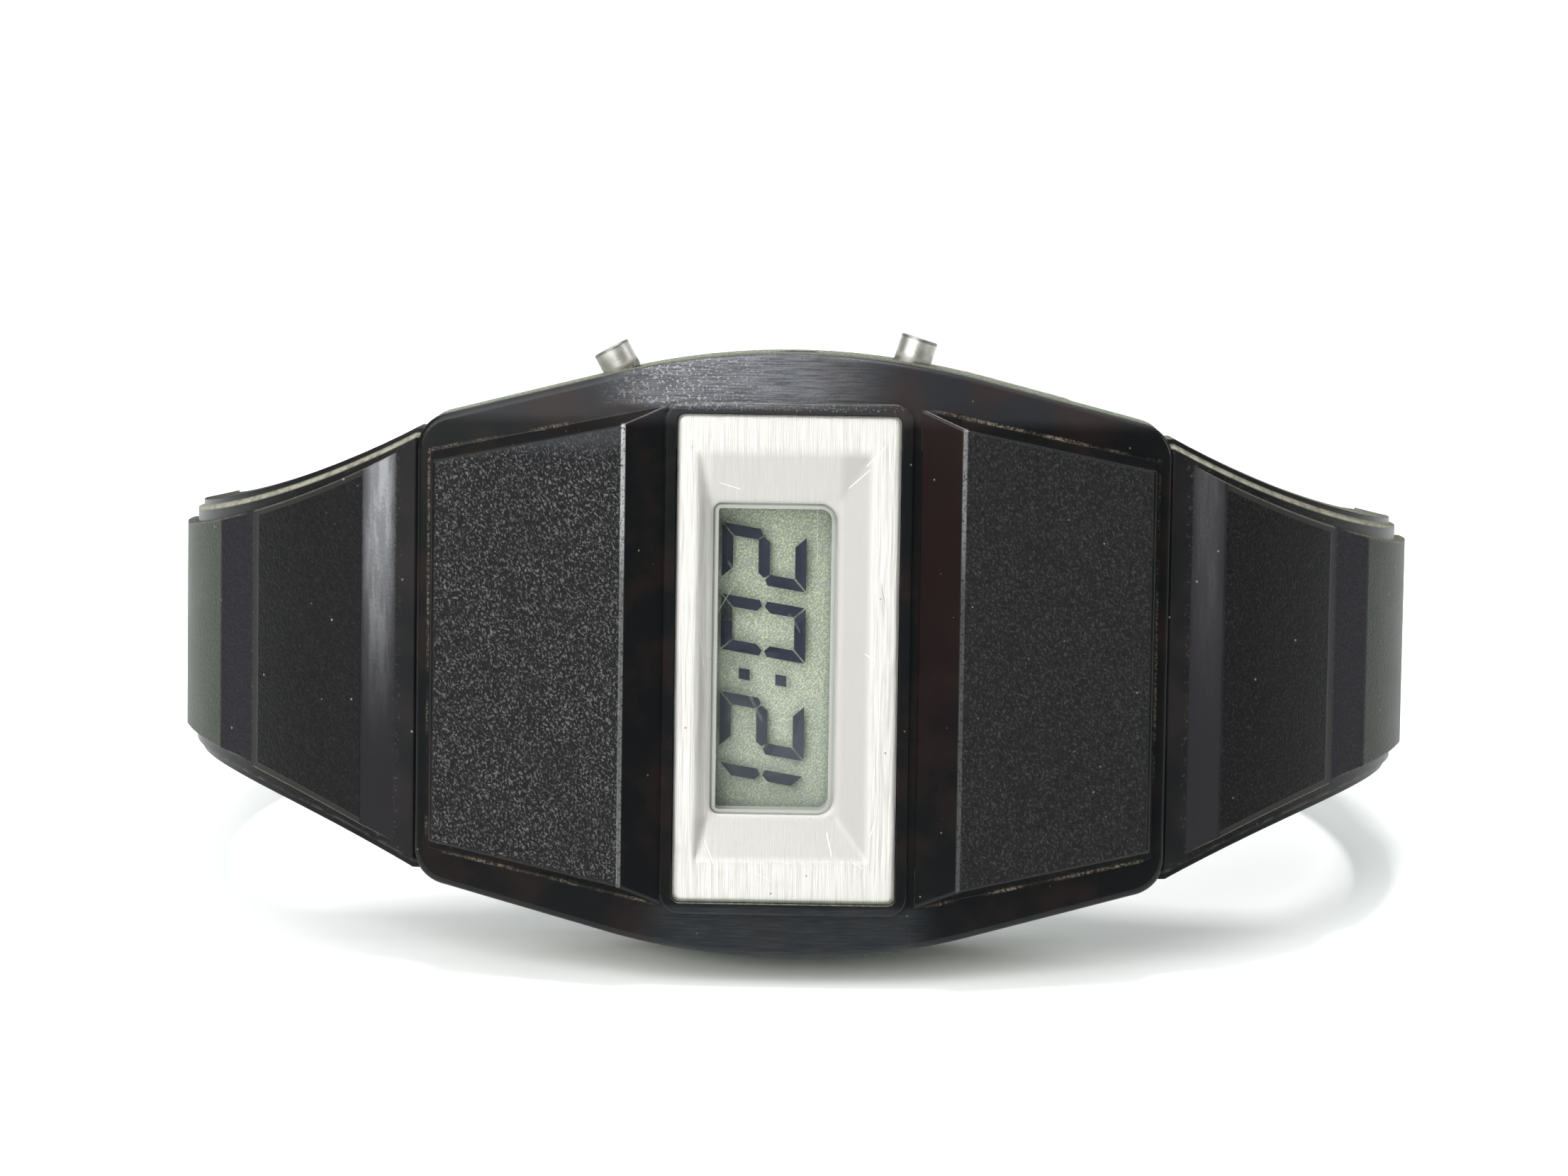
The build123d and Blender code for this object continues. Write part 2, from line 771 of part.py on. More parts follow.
def pusher(plane, sink, head):
    """A turned head with a groove for its seal, and a stem with a groove for its clip."""
    face, shoulder, floor, clip_face = pusher_levels(sink, head)
    cap = Cylinder(pusher_diameter / 2, head)
    cap = fillet(cap.edges().sort_by(Axis.Z)[-1:], pusher_edge_round)
    body = plane * (Pos(0, 0, (face + shoulder) / 2) * cap)
    groove_top = shoulder + seal_inset + seal_thick
    groove_core = along(plane, pusher_diameter - 2 * seal_thick, groove_top, shoulder + seal_inset)
    body -= along(plane, pusher_diameter + over, groove_top, shoulder + seal_inset) - groove_core
    end = clip_face - clip_gap - clip_thick - stem_tail
    body += along(plane, stem_diameter, shoulder + pusher_edge_round, end)
    clip_top = clip_face - clip_gap
    notch = along(plane, stem_diameter + over, clip_top, clip_top - clip_thick)
    return body - (notch - along(plane, stem_diameter - 2 * clip_groove, clip_top, clip_top - clip_thick))


def pusher_seal(plane, sink, head):
    face, shoulder, floor, clip_face = pusher_levels(sink, head)
    middle = shoulder + seal_inset + seal_thick / 2
    ring = Torus(pusher_diameter / 2 - seal_thick / 2, seal_thick / 2 - seat_gap / 2)
    return plane * (Pos(0, 0, middle) * ring)


def pusher_clip(plane, sink, head):
    """An open ring that snaps into the stem's groove and keeps the pusher in its bore."""
    face, shoulder, floor, clip_face = pusher_levels(sink, head)
    room = seat_gap / 2
    disc = Cylinder(clip_diameter / 2, clip_thick - 2 * room)
    disc -= Cylinder(stem_diameter / 2 - clip_groove + room, clip_thick)
    disc -= Pos(0, clip_diameter / 2) * Box(stem_diameter / 2, clip_diameter, clip_thick)
    return plane * (Pos(0, 0, clip_face - clip_gap - clip_thick / 2) * disc)


def pusher_spring(plane, sink, head):
    """The coil under a pusher's head, which returns it."""
    face, shoulder, floor, clip_face = pusher_levels(sink, head)
    room = seat_gap / 2 + coil_wire / 2
    height = pusher_spring_room - 2 * room
    coil = Helix(pitch=height / coil_turns, height=height, radius=coil_diameter / 2)
    start = coil @ 0
    section = Plane(origin=start, z_dir=coil % 0) * Circle(coil_wire / 2)
    return plane * (Pos(0, 0, floor + room) * sweep(section, path=coil))


# Band

quarter_turn = 90.0
half_turn = 180.0
front_bend_x = band_root_x - front_bend_radius * sin(radians(band_root_angle))
bend_depth = band_root_depth + front_bend_radius * cos(radians(band_root_angle))
band_side_x = front_bend_x + front_bend_radius
back_bend_x = band_side_x - back_bend_radius
back_depth = bend_depth + back_bend_radius
buckle_side_run = keeper_start + keeper_width + keeper_travel + keeper_end_gap
buckle_bar_x = back_bend_x - buckle_side_run + band_thick / 2
buckle_tip_x = buckle_bar_x - buckle_length
tail_run = back_bend_x + buckle_tip_x - tail_gap


def band_point(angle, lift):
    """A point of the band's side view: angle round the band, lift above its outer face."""
    front = angle <= quarter_turn
    reach = (front_bend_radius if front else back_bend_radius) + lift
    centre = front_bend_x if front else back_bend_x
    return (centre + reach * sin(radians(angle)), -bend_depth + reach * cos(radians(angle)))


band_end_radius = hypot(band_root_x - hinge_x, hinge_depth - band_root_depth)


def band_arcs(start, stop, lift):
    """The arcs of the side view from one angle to another, split where the radius changes."""
    stops = [start, stop] if stop <= quarter_turn or start >= quarter_turn else [start, quarter_turn, stop]
    arcs = []
    for first, last in zip(stops, stops[1:]):
        side = first if first < quarter_turn else last
        middle = band_point((first + last) / 2, lift)
        arcs.append(ThreePointArc(arc_end(first, side, lift), middle, arc_end(last, side, lift)))
    return arcs


def arc_end(angle, side, lift):
    return band_point(min(angle, quarter_turn) if side < quarter_turn else max(angle, quarter_turn), lift)


def band_profile(start, stop, run, outer, inner):
    """The side view of a stretch of band between two lifts, with a straight run at its end."""
    edges = band_arcs(start, stop, outer) + band_arcs(start, stop, inner)
    edges.append(Line(band_point(start, outer), band_point(start, inner)))
    ends = [band_point(stop, outer), band_point(stop, inner)]
    if run > 0:
        tips = [(x - run, z) for x, z in ends]
        edges += [Line(end, tip) for end, tip in zip(ends, tips)]
        ends = tips
    edges.append(Line(*ends))
    return make_face(edges)


def width_mask(near, middle, far, inset):
    """What the band's width leaves: it narrows from the case to the side bend, then keeps its width."""
    start_x, root_x, side_x = hinge_x - band_end_radius, band_root_x, band_side_x
    near, middle, far = near - inset, middle - inset, far - inset
    edges = []
    for side in (1, -1):
        points = [(root_x, side * near), ((root_x + side_x) / 2, side * middle), (side_x, side * far)]
        edges.append(ThreePointArc(*points))
        edges.append(Line((start_x, side * near), points[0]))
        edges.append(Line(points[-1], (side_x + over, side * far)))
    edges.append(Line((start_x, near), (start_x, -near)))
    edges.append(Line((side_x + over, far), (side_x + over, -far)))
    front = extrude(Pos(0, 0, -bend_depth) * make_face(edges), bend_depth + over)
    depth = back_depth - bend_depth + over
    return front + box_at(0, 0, -bend_depth, 2 * (side_x + over), 2 * far, depth)


def band_base(run):
    """The moulded band: a lower layer, and an upper one that is stepped in along both edges."""
    layers = None
    for outer, inset in ((-band_step, 0), (0, band_step_width)):
        profile = band_profile(0, half_turn, run, outer, -band_thick)
        mask = width_mask(band_near_half, band_mid_half, band_far_half, inset)
        layer = extrude_side(profile + band_wedge(outer), case_height) & mask
        layers = layer if layers is None else layers + layer
    return layers


def band_wedge(outer):
    """The thick end of the band that fills the height of the case's end."""
    inner = band_point(band_wedge_angle, -band_thick)
    root_x = hinge_x - band_end_radius
    outer_end = band_point(band_wedge_angle, outer)
    start = band_point(0, outer)
    points = [(start[0], -wedge_depth), inner, outer_end]
    arcs = band_arcs(0, band_wedge_angle, outer)
    lines = [Line(points[0], points[1]), Line(points[1], points[2]), Line(points[0], start)]
    return make_face(arcs + lines)


band_block_shares = {
    "near": (0.045, 0.11, 0.405, 0.43),
    "far": (0.445, 0.535, 1.0, 1.04),
}


def band_blocks():
    """Two raised, grained blocks, each with a bevel at both ends."""
    blocks = []
    sweep_angle = band_block_end_angle - band_root_angle
    mask = width_mask(band_block_near_half, band_block_mid_half, band_block_far_half, 0)
    for foot, crest, crest_end, foot_end in band_block_shares.values():
        angles = [band_root_angle + share * sweep_angle for share in (foot, crest, crest_end, foot_end)]
        edges = band_arcs(angles[0], angles[3], -band_block_root)
        edges += band_arcs(angles[1], angles[2], band_block_height)
        low = [band_point(angles[0], 0), band_point(angles[3], 0)]
        high = [band_point(angles[1], band_block_height), band_point(angles[2], band_block_height)]
        root = [band_point(angles[0], -band_block_root), band_point(angles[3], -band_block_root)]
        for k in (0, 1):
            edges += [Line(root[k], low[k]), Line(low[k], high[k])]
        blocks.append(extrude_side(make_face(edges), case_height) & mask)
    return blocks


def case_side_cut():
    """What the round end of the band clears: all that lies towards the case outside the hinge's disc."""
    zone = box_at(hinge_x - case_length / 2, 0, over, case_length, case_height, bend_depth)
    return zone - hinge_cylinder(band_end_radius, case_height)


def lug_pockets():
    """Room under the band's skin for the case's ears at every angle of the hinge."""
    reach = band_end_radius + over
    ring = [(0, 0)]
    for angle in (pocket_front_angle, (pocket_front_angle + pocket_rear_angle) / 2, pocket_rear_angle):
        ring.append((reach * cos(radians(angle)) * 3 / 2, reach * sin(radians(angle)) * 3 / 2))
    width = lug_width + 2 * lug_side_gap
    sector = Pos(hinge_x, 0, -hinge_depth) * extrude_side(polygon(ring), width / 2)
    hole = hinge_cylinder(lug_radius + lug_pocket_gap, width / 2)
    drop = wedge_depth - hinge_depth + over
    slot = box_at(hinge_x - reach / 2, 0, -hinge_depth, reach, width, drop)
    middle = lug_inner + lug_width / 2
    pocket = sector + hole + slot
    return Pos(0, middle, 0) * pocket + Pos(0, -middle, 0) * pocket


def finished_half(run):
    half = band_base(run)
    for block in band_blocks():
        half += block
    half -= case_side_cut()
    half -= lug_pockets()
    return half - hinge_cylinder(bar_diameter / 2 + bar_bore_gap, lug_inner + over)


def tail_holes():
    """Slots for the tongue, spaced along the band from near its tip back round the bend."""
    holes = []
    for k in range(hole_count):
        along_band = hole_first + k * hole_pitch
        angle = half_turn - degrees(max(along_band - tail_run, 0) / back_bend_radius)
        x, z = band_point(angle, -band_thick / 2)
        holes.append(Pos(x - max(tail_run - along_band, 0), 0, z) * Rot(0, angle, 0) * hole_tool())
    return holes


def hole_tool():
    return extrude(RectangleRounded(hole_length, hole_width, hole_length / 3), band_thick + over, both=True)


def tail_tip(run):
    """Rounds the tip of the tail as seen from behind."""
    tip_x = back_bend_x - run
    blank = Pos(tip_x + tail_round / 2, 0) * Rectangle(tail_round, 2 * (band_far_half + over))
    corner = Pos(tip_x + tail_round + case_length / 4, 0) * RectangleRounded(
        2 * tail_round + case_length / 2, 2 * band_far_half, tail_round)
    return slab(blank - corner, -back_depth + band_thick + over, band_thick + 2 * over)


def strap_six():
    half = finished_half(tail_run) - tail_tip(tail_run)
    for hole in tail_holes():
        half -= hole
    return half


# Buckle end: u runs along the straight end of the band, from the buckle's bar to its far edge

buckle_bar_depth = back_depth - band_thick / 2


def bar_cylinder(radius, half):
    return Pos(buckle_bar_x, 0, -buckle_bar_depth) * Rot(90, 0, 0) * Cylinder(radius, 2 * half)


def strap_twelve():
    """The buckle's half: its end is rounded about the bar, with a slot for the tongue."""
    half = finished_half(buckle_side_run)
    corner = box_at(buckle_bar_x - band_thick, 0, -back_depth + band_thick + over,
                    2 * band_thick, case_height, band_thick + 2 * over)
    half -= corner - bar_cylinder(band_thick / 2, case_height)
    half -= bar_cylinder(buckle_bar_diameter / 2 + bar_bore_gap, case_height)
    slot = box_at(buckle_bar_x - band_thick, 0, -back_depth + band_thick + over,
                  2 * band_thick + tongue_eye + band_thick / 2, tongue_slot, band_thick + 2 * over)
    return half - slot


def spring_bar(diameter, half, pivot):
    """A tube with a turned collar near each end and a sprung pivot in it."""
    body = Cylinder(diameter / 2, 2 * (half - bar_end_gap))
    for side in (1, -1):
        place = Pos(0, 0, side * (half - bar_end_gap - 2 * bar_collar_length))
        body -= place * (Cylinder(diameter, bar_collar_length) - Cylinder(diameter / 2 - bar_collar_depth, bar_collar_length))
    return Rot(90, 0, 0) * (body + Cylinder(pivot_diameter / 2, 2 * (half + pivot)))


def strap_bar():
    return Pos(hinge_x, 0, -hinge_depth) * spring_bar(bar_diameter, lug_inner, pivot_length)


buckle_half = band_far_half + buckle_side_gap
buckle_outer_face = -back_depth + buckle_drop


def buckle_frame():
    """A cast frame: two arms, a far bar that carries the tongue's tip, and holes for the pivots."""
    middle_x = (buckle_bar_x + buckle_heel + buckle_tip_x) / 2
    length = buckle_length + buckle_heel
    outline = RectangleRounded(length, 2 * (buckle_half + buckle_arm), buckle_arm)
    frame = Pos(middle_x) * slab(outline, buckle_outer_face + buckle_thick, buckle_thick)
    opening = box_at(buckle_tip_x + buckle_end + case_length / 2, 0, 0, case_length, 2 * buckle_half, 2 * back_depth)
    rims = frame.edges().filter_by(lambda e: abs(e.tangent_at(0).Z) < seat_gap)
    frame = fillet(rims, buckle_round)
    frame -= opening
    return frame - bar_cylinder(pivot_diameter / 2 + pivot_gap, buckle_half + pivot_length + pivot_gap)


def buckle_bar():
    return Pos(buckle_bar_x, 0, -buckle_bar_depth) * spring_bar(buckle_bar_diameter, buckle_half, pivot_length)


def buckle_tongue():
    """A prong bent round the bar, whose tip lies on the frame's far bar."""
    lie = buckle_outer_face - tongue_rest_gap
    outer = lie - tongue_thick
    tip_x = buckle_tip_x - tongue_tip / 2
    shoulder_x = buckle_tip_x + buckle_end + over
    eye = tongue_eye / 2
    points = [(buckle_bar_x, -buckle_bar_depth + eye), (shoulder_x, lie), (tip_x + tongue_tip, lie),
              (tip_x, lie - tongue_thick / 3), (tip_x + tongue_tip, outer), (shoulder_x + over, outer),
              (buckle_bar_x, -buckle_bar_depth - eye)]
    prong = extrude_side(polygon(points), tongue_width / 2) + bar_cylinder(eye, tongue_width / 2)
    return prong - bar_cylinder(buckle_bar_diameter / 2 + bar_bore_gap, tongue_width)


def strap_keeper():
    """A moulded loop round the band that takes the tail."""
    high = -back_depth + band_thick + keeper_gap + keeper_skin
    low = -back_depth - keeper_room - keeper_skin
    loop = Box(keeper_width, 2 * (buckle_half + keeper_wall), high - low)
    loop = fillet(loop.edges().filter_by(Axis.X), keeper_skin)
    loop = Pos(back_bend_x - keeper_start - keeper_width / 2, 0, (high + low) / 2) * loop
    opening = box_at(0, 0, high - keeper_skin, case_length * 2, 2 * buckle_half, high - low - 2 * keeper_skin)
    rims = loop.edges().filter_by(lambda e: abs(e.tangent_at(0).X) < seat_gap)
    return fillet(rims, keeper_round) - opening


# Assembly

def mirrored(shape):
    return mirror(shape, Plane.YZ)


def build_nodes():
    """Every piece by name, in the face's frame."""
    nodes = {
        "case_body": case_body(),
        "face_plate": face_plate(),
        "window_lens": window_lens(),
        "lens_gasket": lens_gasket(),
        "lcd_polariser": glass_pane(rear_glass_length, polariser_top, polariser_thick),
        "lcd_front_glass": glass_pane(front_glass_length, front_glass_top, glass_thick),
        "lcd_segments": lcd_segments(),
        "lcd_rear_glass": glass_pane(rear_glass_length, rear_glass_top, glass_thick),
        "lcd_reflector": glass_pane(rear_glass_length, reflector_top, reflector_thick),
        "zebra_strips": zebra_strips(),
        "module_frame": module_frame(),
        "module_screws": module_screws(),
        "circuit_board": circuit_board(),
        "timing_chip": timing_chip(),
        "battery": battery(),
        "battery_clip": battery_clip(),
        "quartz_crystal": quartz_crystal(),
        "trimmer_capacitor": trimmer_capacitor(),
        "micro_lamp": micro_lamp(),
        "case_back": case_back(),
        "back_gasket": slab(gasket_ring(0), -case_depth + back_gasket_thick, back_gasket_thick),
        "back_screws": back_screws(),
        "strap_six": strap_six(),
        "strap_twelve": mirrored(strap_twelve()),
        "strap_bar_six": strap_bar(),
        "strap_bar_twelve": mirrored(strap_bar()),
        "buckle_frame": mirrored(buckle_frame()),
        "buckle_bar": mirrored(buckle_bar()),
        "buckle_tongue": mirrored(buckle_tongue()),
        "strap_keeper": mirrored(strap_keeper()),
    }
    leaves = []
    for name, (plane, sink, head) in pushers.items():
        nodes[name] = pusher(plane, sink, head)
        nodes[name + "_seal"] = pusher_seal(plane, sink, head)
        nodes[name + "_clip"] = pusher_clip(plane, sink, head)
        nodes[name + "_spring"] = pusher_spring(plane, sink, head)
        leaves.append(contact_leaf(plane, sink, head))
    nodes["contact_leaves"] = leaves
    return nodes


def joined(shape):
    """A node as one shape, also where it is a group of separate solids."""
    pieces = shape if isinstance(shape, list) else [shape]
    solids = [solid for piece in pieces for solid in piece.solids()]
    return solids[0] if len(solids) == 1 else Compound(children=solids)


# The watch rests on the rear rim of its case and on the lower arm of its buckle
rear_rim = case_height / 2 + case_depth * tan(radians(side_flare))
buckle_edge = buckle_half + buckle_arm
rest_rise = rear_rim - buckle_edge
rest_span = back_depth - buckle_drop - case_depth
lean = degrees(atan2(rest_rise, rest_span))


def placed(nodes):
    """The watch on its side, face towards -Y, over the middle of its own footprint."""
    turned = {name: Rot(90 - lean, 0, 0) * joined(shape) for name, shape in nodes.items()}
    boxes = [shape.bounding_box() for shape in turned.values()]
    low = [min(getattr(box.min, axis) for box in boxes) for axis in "XYZ"]
    high = [max(getattr(box.max, axis) for box in boxes) for axis in "XYZ"]
    shift = Pos(-(low[0] + high[0]) / 2, -(low[1] + high[1]) / 2, -low[2])
    return {name: shift * shape for name, shape in turned.items()}, shift


if __name__ == "__main__":
    os.makedirs("parts", exist_ok=True)
    nodes, shift = placed(build_nodes())
    for name, shape in nodes.items():
        export_step(shape, f"parts/{name}.step")
    print("lean", round(lean, 2), "degrees; origin moved by", shift.position)
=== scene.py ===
# %% [markdown]
# # A digital watch standing on its long side
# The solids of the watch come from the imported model. This script gives each of them the finish of
# the real thing, puts the watch on a pale floor, and aims a camera as the photographer did.

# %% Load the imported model
import json
from math import cos, degrees, radians, sin, sqrt

import bpy
from mathutils import Matrix, Vector

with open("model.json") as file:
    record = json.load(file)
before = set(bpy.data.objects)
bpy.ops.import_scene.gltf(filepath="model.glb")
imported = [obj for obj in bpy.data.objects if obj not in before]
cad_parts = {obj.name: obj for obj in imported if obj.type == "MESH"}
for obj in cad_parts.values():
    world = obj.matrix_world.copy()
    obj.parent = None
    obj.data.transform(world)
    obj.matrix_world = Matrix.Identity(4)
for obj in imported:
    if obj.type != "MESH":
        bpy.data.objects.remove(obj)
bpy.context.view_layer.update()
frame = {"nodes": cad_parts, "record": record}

print("pieces in the packed model:", len(frame["nodes"]))

# %% [markdown]
# ## The dial's own directions
# The watch leans back a little, so the row's axes don't follow its face. The mount on the case
# back says where the back lies and which way it looks, and the dial looks the opposite way. All
# finishes are placed in millimetres from the middle of the dial: x to the six o'clock strap, y to
# the pushers, z out of the dial.

# %% The dial's directions
MM = 0.001
rear_face = frame["record"]["mounts"][0]
dial_above_rear_face = 8.4 * MM
dial_before_rear_face = 0.75 * MM
six_way = Vector((1, 0, 0))
dial_way = -Vector(rear_face["axis"])
pusher_way = dial_way.cross(six_way)
dial_middle = (Vector(rear_face["pos_m"]) + dial_way * dial_above_rear_face
               - six_way * dial_before_rear_face)
print("middle of the dial:", [round(v / MM, 2) for v in dial_middle], "mm")

# %% [markdown]
# ## Camera
# A long lens a hand's breadth above the watch: the far straps hardly shrink. The aim is a little
# above the dial's middle, which leaves the wide pale margin at the top of the picture. The picture
# is rolled by less than a degree, as a picture taken by hand is.

# %% Camera
PICTURE_WIDTH = 2212
SENSOR_WIDTH = 36
FOCAL_PIXELS = 6403
AIM_FROM_DIAL = Vector((-0.47, 0, 4.27)) * MM
camera_azimuth, camera_elevation = radians(0.63), radians(17.80)
camera_distance = 262.5 * MM
camera_roll = radians(0.71)
aim = dial_middle + AIM_FROM_DIAL

to_camera = Vector((sin(camera_azimuth) * cos(camera_elevation),
                    -cos(camera_azimuth) * cos(camera_elevation),
                    sin(camera_elevation)))
turn = (-to_camera).to_track_quat("-Z", "Y").to_matrix().to_4x4()
camera = bpy.data.objects.new("camera", bpy.data.cameras.new("camera"))
bpy.context.scene.collection.objects.link(camera)
camera.matrix_world = (Matrix.Translation(aim + to_camera * camera_distance)
                       @ turn @ Matrix.Rotation(camera_roll, 4, "Z"))
camera.data.sensor_width = SENSOR_WIDTH
camera.data.lens = SENSOR_WIDTH * FOCAL_PIXELS / PICTURE_WIDTH
camera.data.clip_start = 0.01
bpy.context.scene.camera = camera
print("lens:", round(camera.data.lens, 1), "mm")

# %% [markdown]
# ## Sums made of sockets
# A finish is a small tree of nodes. Linking nodes by hand hides the sum that they work out, so one
# class wraps a socket and lets Python's own operators add the Math nodes: `1 - mask` reads as it
# is meant. Colours and vectors have methods of their own, because a Math node would turn them grey.

# %% A socket that can be used in sums
class Wire:
    def __init__(self, finish, socket):
        self.finish, self.socket = finish, socket

    def maths(self, operation, *values):
        return self.finish.node("ShaderNodeMath", {"operation": operation}, values)

    def __add__(self, other):
        return self.maths("ADD", self, other)

    def __sub__(self, other):
        return self.maths("SUBTRACT", self, other)

    def __rsub__(self, other):
        return self.maths("SUBTRACT", other, self)

    def __mul__(self, other):
        return self.maths("MULTIPLY", self, other)

    def __truediv__(self, other):
        return self.maths("DIVIDE", self, other)

    def __pow__(self, other):
        return self.maths("POWER", self, other)

    def __abs__(self):
        return self.maths("ABSOLUTE", self)

    __radd__, __rmul__ = __add__, __mul__

    def most(self, other):
        return self.maths("MAXIMUM", self, other)

    def least(self, other):
        return self.maths("MINIMUM", self, other)

    def ramp(self, low, high):
        """0 below low, 1 above high, and smooth between them. High may be the lower number."""
        settings = {"interpolation_type": "SMOOTHSTEP", "clamp": True}
        values = {"Value": self, "From Min": low, "From Max": high}
        if low > high:
            values |= {"From Min": high, "From Max": low, "To Min": 1.0, "To Max": 0.0}
        return self.finish.node("ShaderNodeMapRange", settings, values)

    def within(self, low, high, soft):
        """1 between two numbers, with soft edges."""
        return self.ramp(low - soft, low + soft) * self.ramp(high + soft, high - soft)


# %% [markdown]
# ## One material under construction
# `node` makes any node: its settings first, since some of them change which sockets there are,
# then the values or links of its sockets. The other methods are the few nodes that nearly every
# finish needs.

# %% A material that is built by steps
class Finish:
    def __init__(self, name):
        self.material = bpy.data.materials.new(name)
        self.material.use_nodes = True
        self.nodes = self.material.node_tree.nodes
        self.nodes.clear()
        self.output = self.nodes.new("ShaderNodeOutputMaterial")

    def feed(self, socket, value):
        if isinstance(value, Wire):
            self.material.node_tree.links.new(value.socket, socket)
        else:
            socket.default_value = value

    def node(self, kind, settings=None, values=(), out=0):
        made = self.nodes.new(kind)
        for name, value in (settings or {}).items():
            setattr(made, name, value)
        pairs = values.items() if isinstance(values, dict) else enumerate(values)
        for key, value in pairs:
            self.feed(made.inputs[key], value)
        return Wire(self, made.outputs[out])

    def vector(self, operation, *values, out=0):
        return self.node("ShaderNodeVectorMath", {"operation": operation}, values, out)

    def joined(self, x, y, z):
        return self.node("ShaderNodeCombineXYZ", None, (x, y, z))

    def mixed(self, share, first, second):
        """A colour between two others."""
        values = {0: share}
        for index, colour in ((6, first), (7, second)):
            values[index] = colour if isinstance(colour, Wire) else (*colour, 1)
        return self.node("ShaderNodeMix", {"data_type": "RGBA", "clamp_factor": True}, values, 2)

    def noise(self, place, scale, detail=2.0, rough=0.5, distort=0.0):
        values = {"Vector": place, "Scale": scale, "Detail": detail, "Roughness": rough,
                  "Distortion": distort}
        return self.node("ShaderNodeTexNoise", None, values)

    def cells(self, place, scale, smooth=None):
        """The way to the nearest of many scattered points. Smooth melts the cells together."""
        settings, values = {"feature": "F1"}, {"Vector": place, "Scale": scale}
        if smooth is not None:
            settings["feature"] = "SMOOTH_F1"
            values["Smoothness"] = smooth
        return self.node("ShaderNodeTexVoronoi", settings, values, "Distance")

    def bump(self, height, depth, strength=1.0, under=None):
        """Height 1 stands depth millimetres proud."""
        values = {"Height": height, "Distance": depth * MM, "Strength": strength}
        if under:
            values["Normal"] = under
        return self.node("ShaderNodeBump", None, values)

    def soft_edges(self, radius):
        """Rounds every sharp edge a little, as a mould or a polishing wheel does."""
        return self.node("ShaderNodeBevel", {"samples": 6}, {"Radius": radius * MM})

    def surface(self, **sockets):
        shader = self.node("ShaderNodeBsdfPrincipled", None,
                           {name.replace("_", " "): value for name, value in sockets.items()})
        self.feed(self.output.inputs["Surface"], shader)
        return self.material


# %% [markdown]
# ## Where a point lies on the watch
# Object coordinates move with a piece when its joint turns, so a stain stays where it is on the
# strap. Three dot products turn them into the dial's own millimetres.

# %% Places and directions on the watch
def dial_place(finish):
    point = finish.node("ShaderNodeTexCoord", None, (), "Object")
    from_middle = finish.vector("SUBTRACT", point, dial_middle)
    return [finish.vector("DOT_PRODUCT", from_middle, way / MM, out="Value")
            for way in (six_way, pusher_way, dial_way)]


def facing(finish, way):
    normal = finish.node("ShaderNodeTexCoord", None, (), "Normal")
    return finish.vector("DOT_PRODUCT", normal, way, out="Value")


def specks(finish, place, scale, size):
    """Scattered round dots: 1 inside a dot. Size is the dot's radius as a share of a cell."""
    return finish.cells(place, scale).ramp(size, size * 0.6)


# %% [markdown]
# ## Moulded grain
# The blocks of the case and the strap carry the fine leather grain of a spark-eroded mould: small
# pebbles a sixth of a millimetre across that run together. Voronoi cells give the pebbles. Their
# coordinates are slanted and bent by noise first, so that no cell looks round, and a noise of the
# same size breaks them up. A bump is enough, as the grain is a few hundredths of a millimetre deep.

# %% Leather grain
GRAIN_PER_MM, BENDS_PER_MM, BEND_REACH = 6.8, 2.6, 0.35


def leather(finish, x, y, z):
    slanted = finish.joined(x * 1.15 + y * 0.3, y * 0.85, z)
    bend = finish.node("ShaderNodeTexNoise", None, {"Vector": slanted, "Scale": BENDS_PER_MM}, "Color")
    bend = finish.node("ShaderNodeVectorMath", {"operation": "SCALE"}, {0: bend, "Scale": BEND_REACH})
    bent = finish.vector("ADD", slanted, bend)
    pebbles = finish.cells(bent, GRAIN_PER_MM)
    worms = finish.noise(bent, GRAIN_PER_MM, 2, 0.65)
    return (1 - pebbles) * 0.35 + worms * 0.9


# %% [markdown]
# ## The case's black resin
# One moulding with several surfaces: grained panels on the two raised blocks, glossy slopes beside
# them, a rim that years of sleeves have polished along its top, and a sandblasted side wall that
# has gone grey-green. Each is a mask made from the point's place, so no seam shows between them.
# Some of the colour is painted light: pale tops on the pebbles, a painted highlight on the polished
# rim and on the inner crests, a painted sheen on the top and bottom rims, and painted shade on the
# side wall and along the rounded edge between the dial side and the side wall.

# %% Masks on the case
# a block's outline: where it starts and ends along x, then half its height at either end
BLOCK_TOP = (9.85, 20.9, 13.4, 11.1)
BLOCK_FOOT = (7.4, 21.2, 14.55, 11.65)
PANEL_END, SLOPE_START = 20.85, 7.35
RIM_START = 14.3


def block_edge(x, outline):
    """Half the block's height at x, along the slanted line of its outline."""
    start, end, start_half, end_half = outline
    return start_half - (x - start) * ((start_half - end_half) / (end - start))


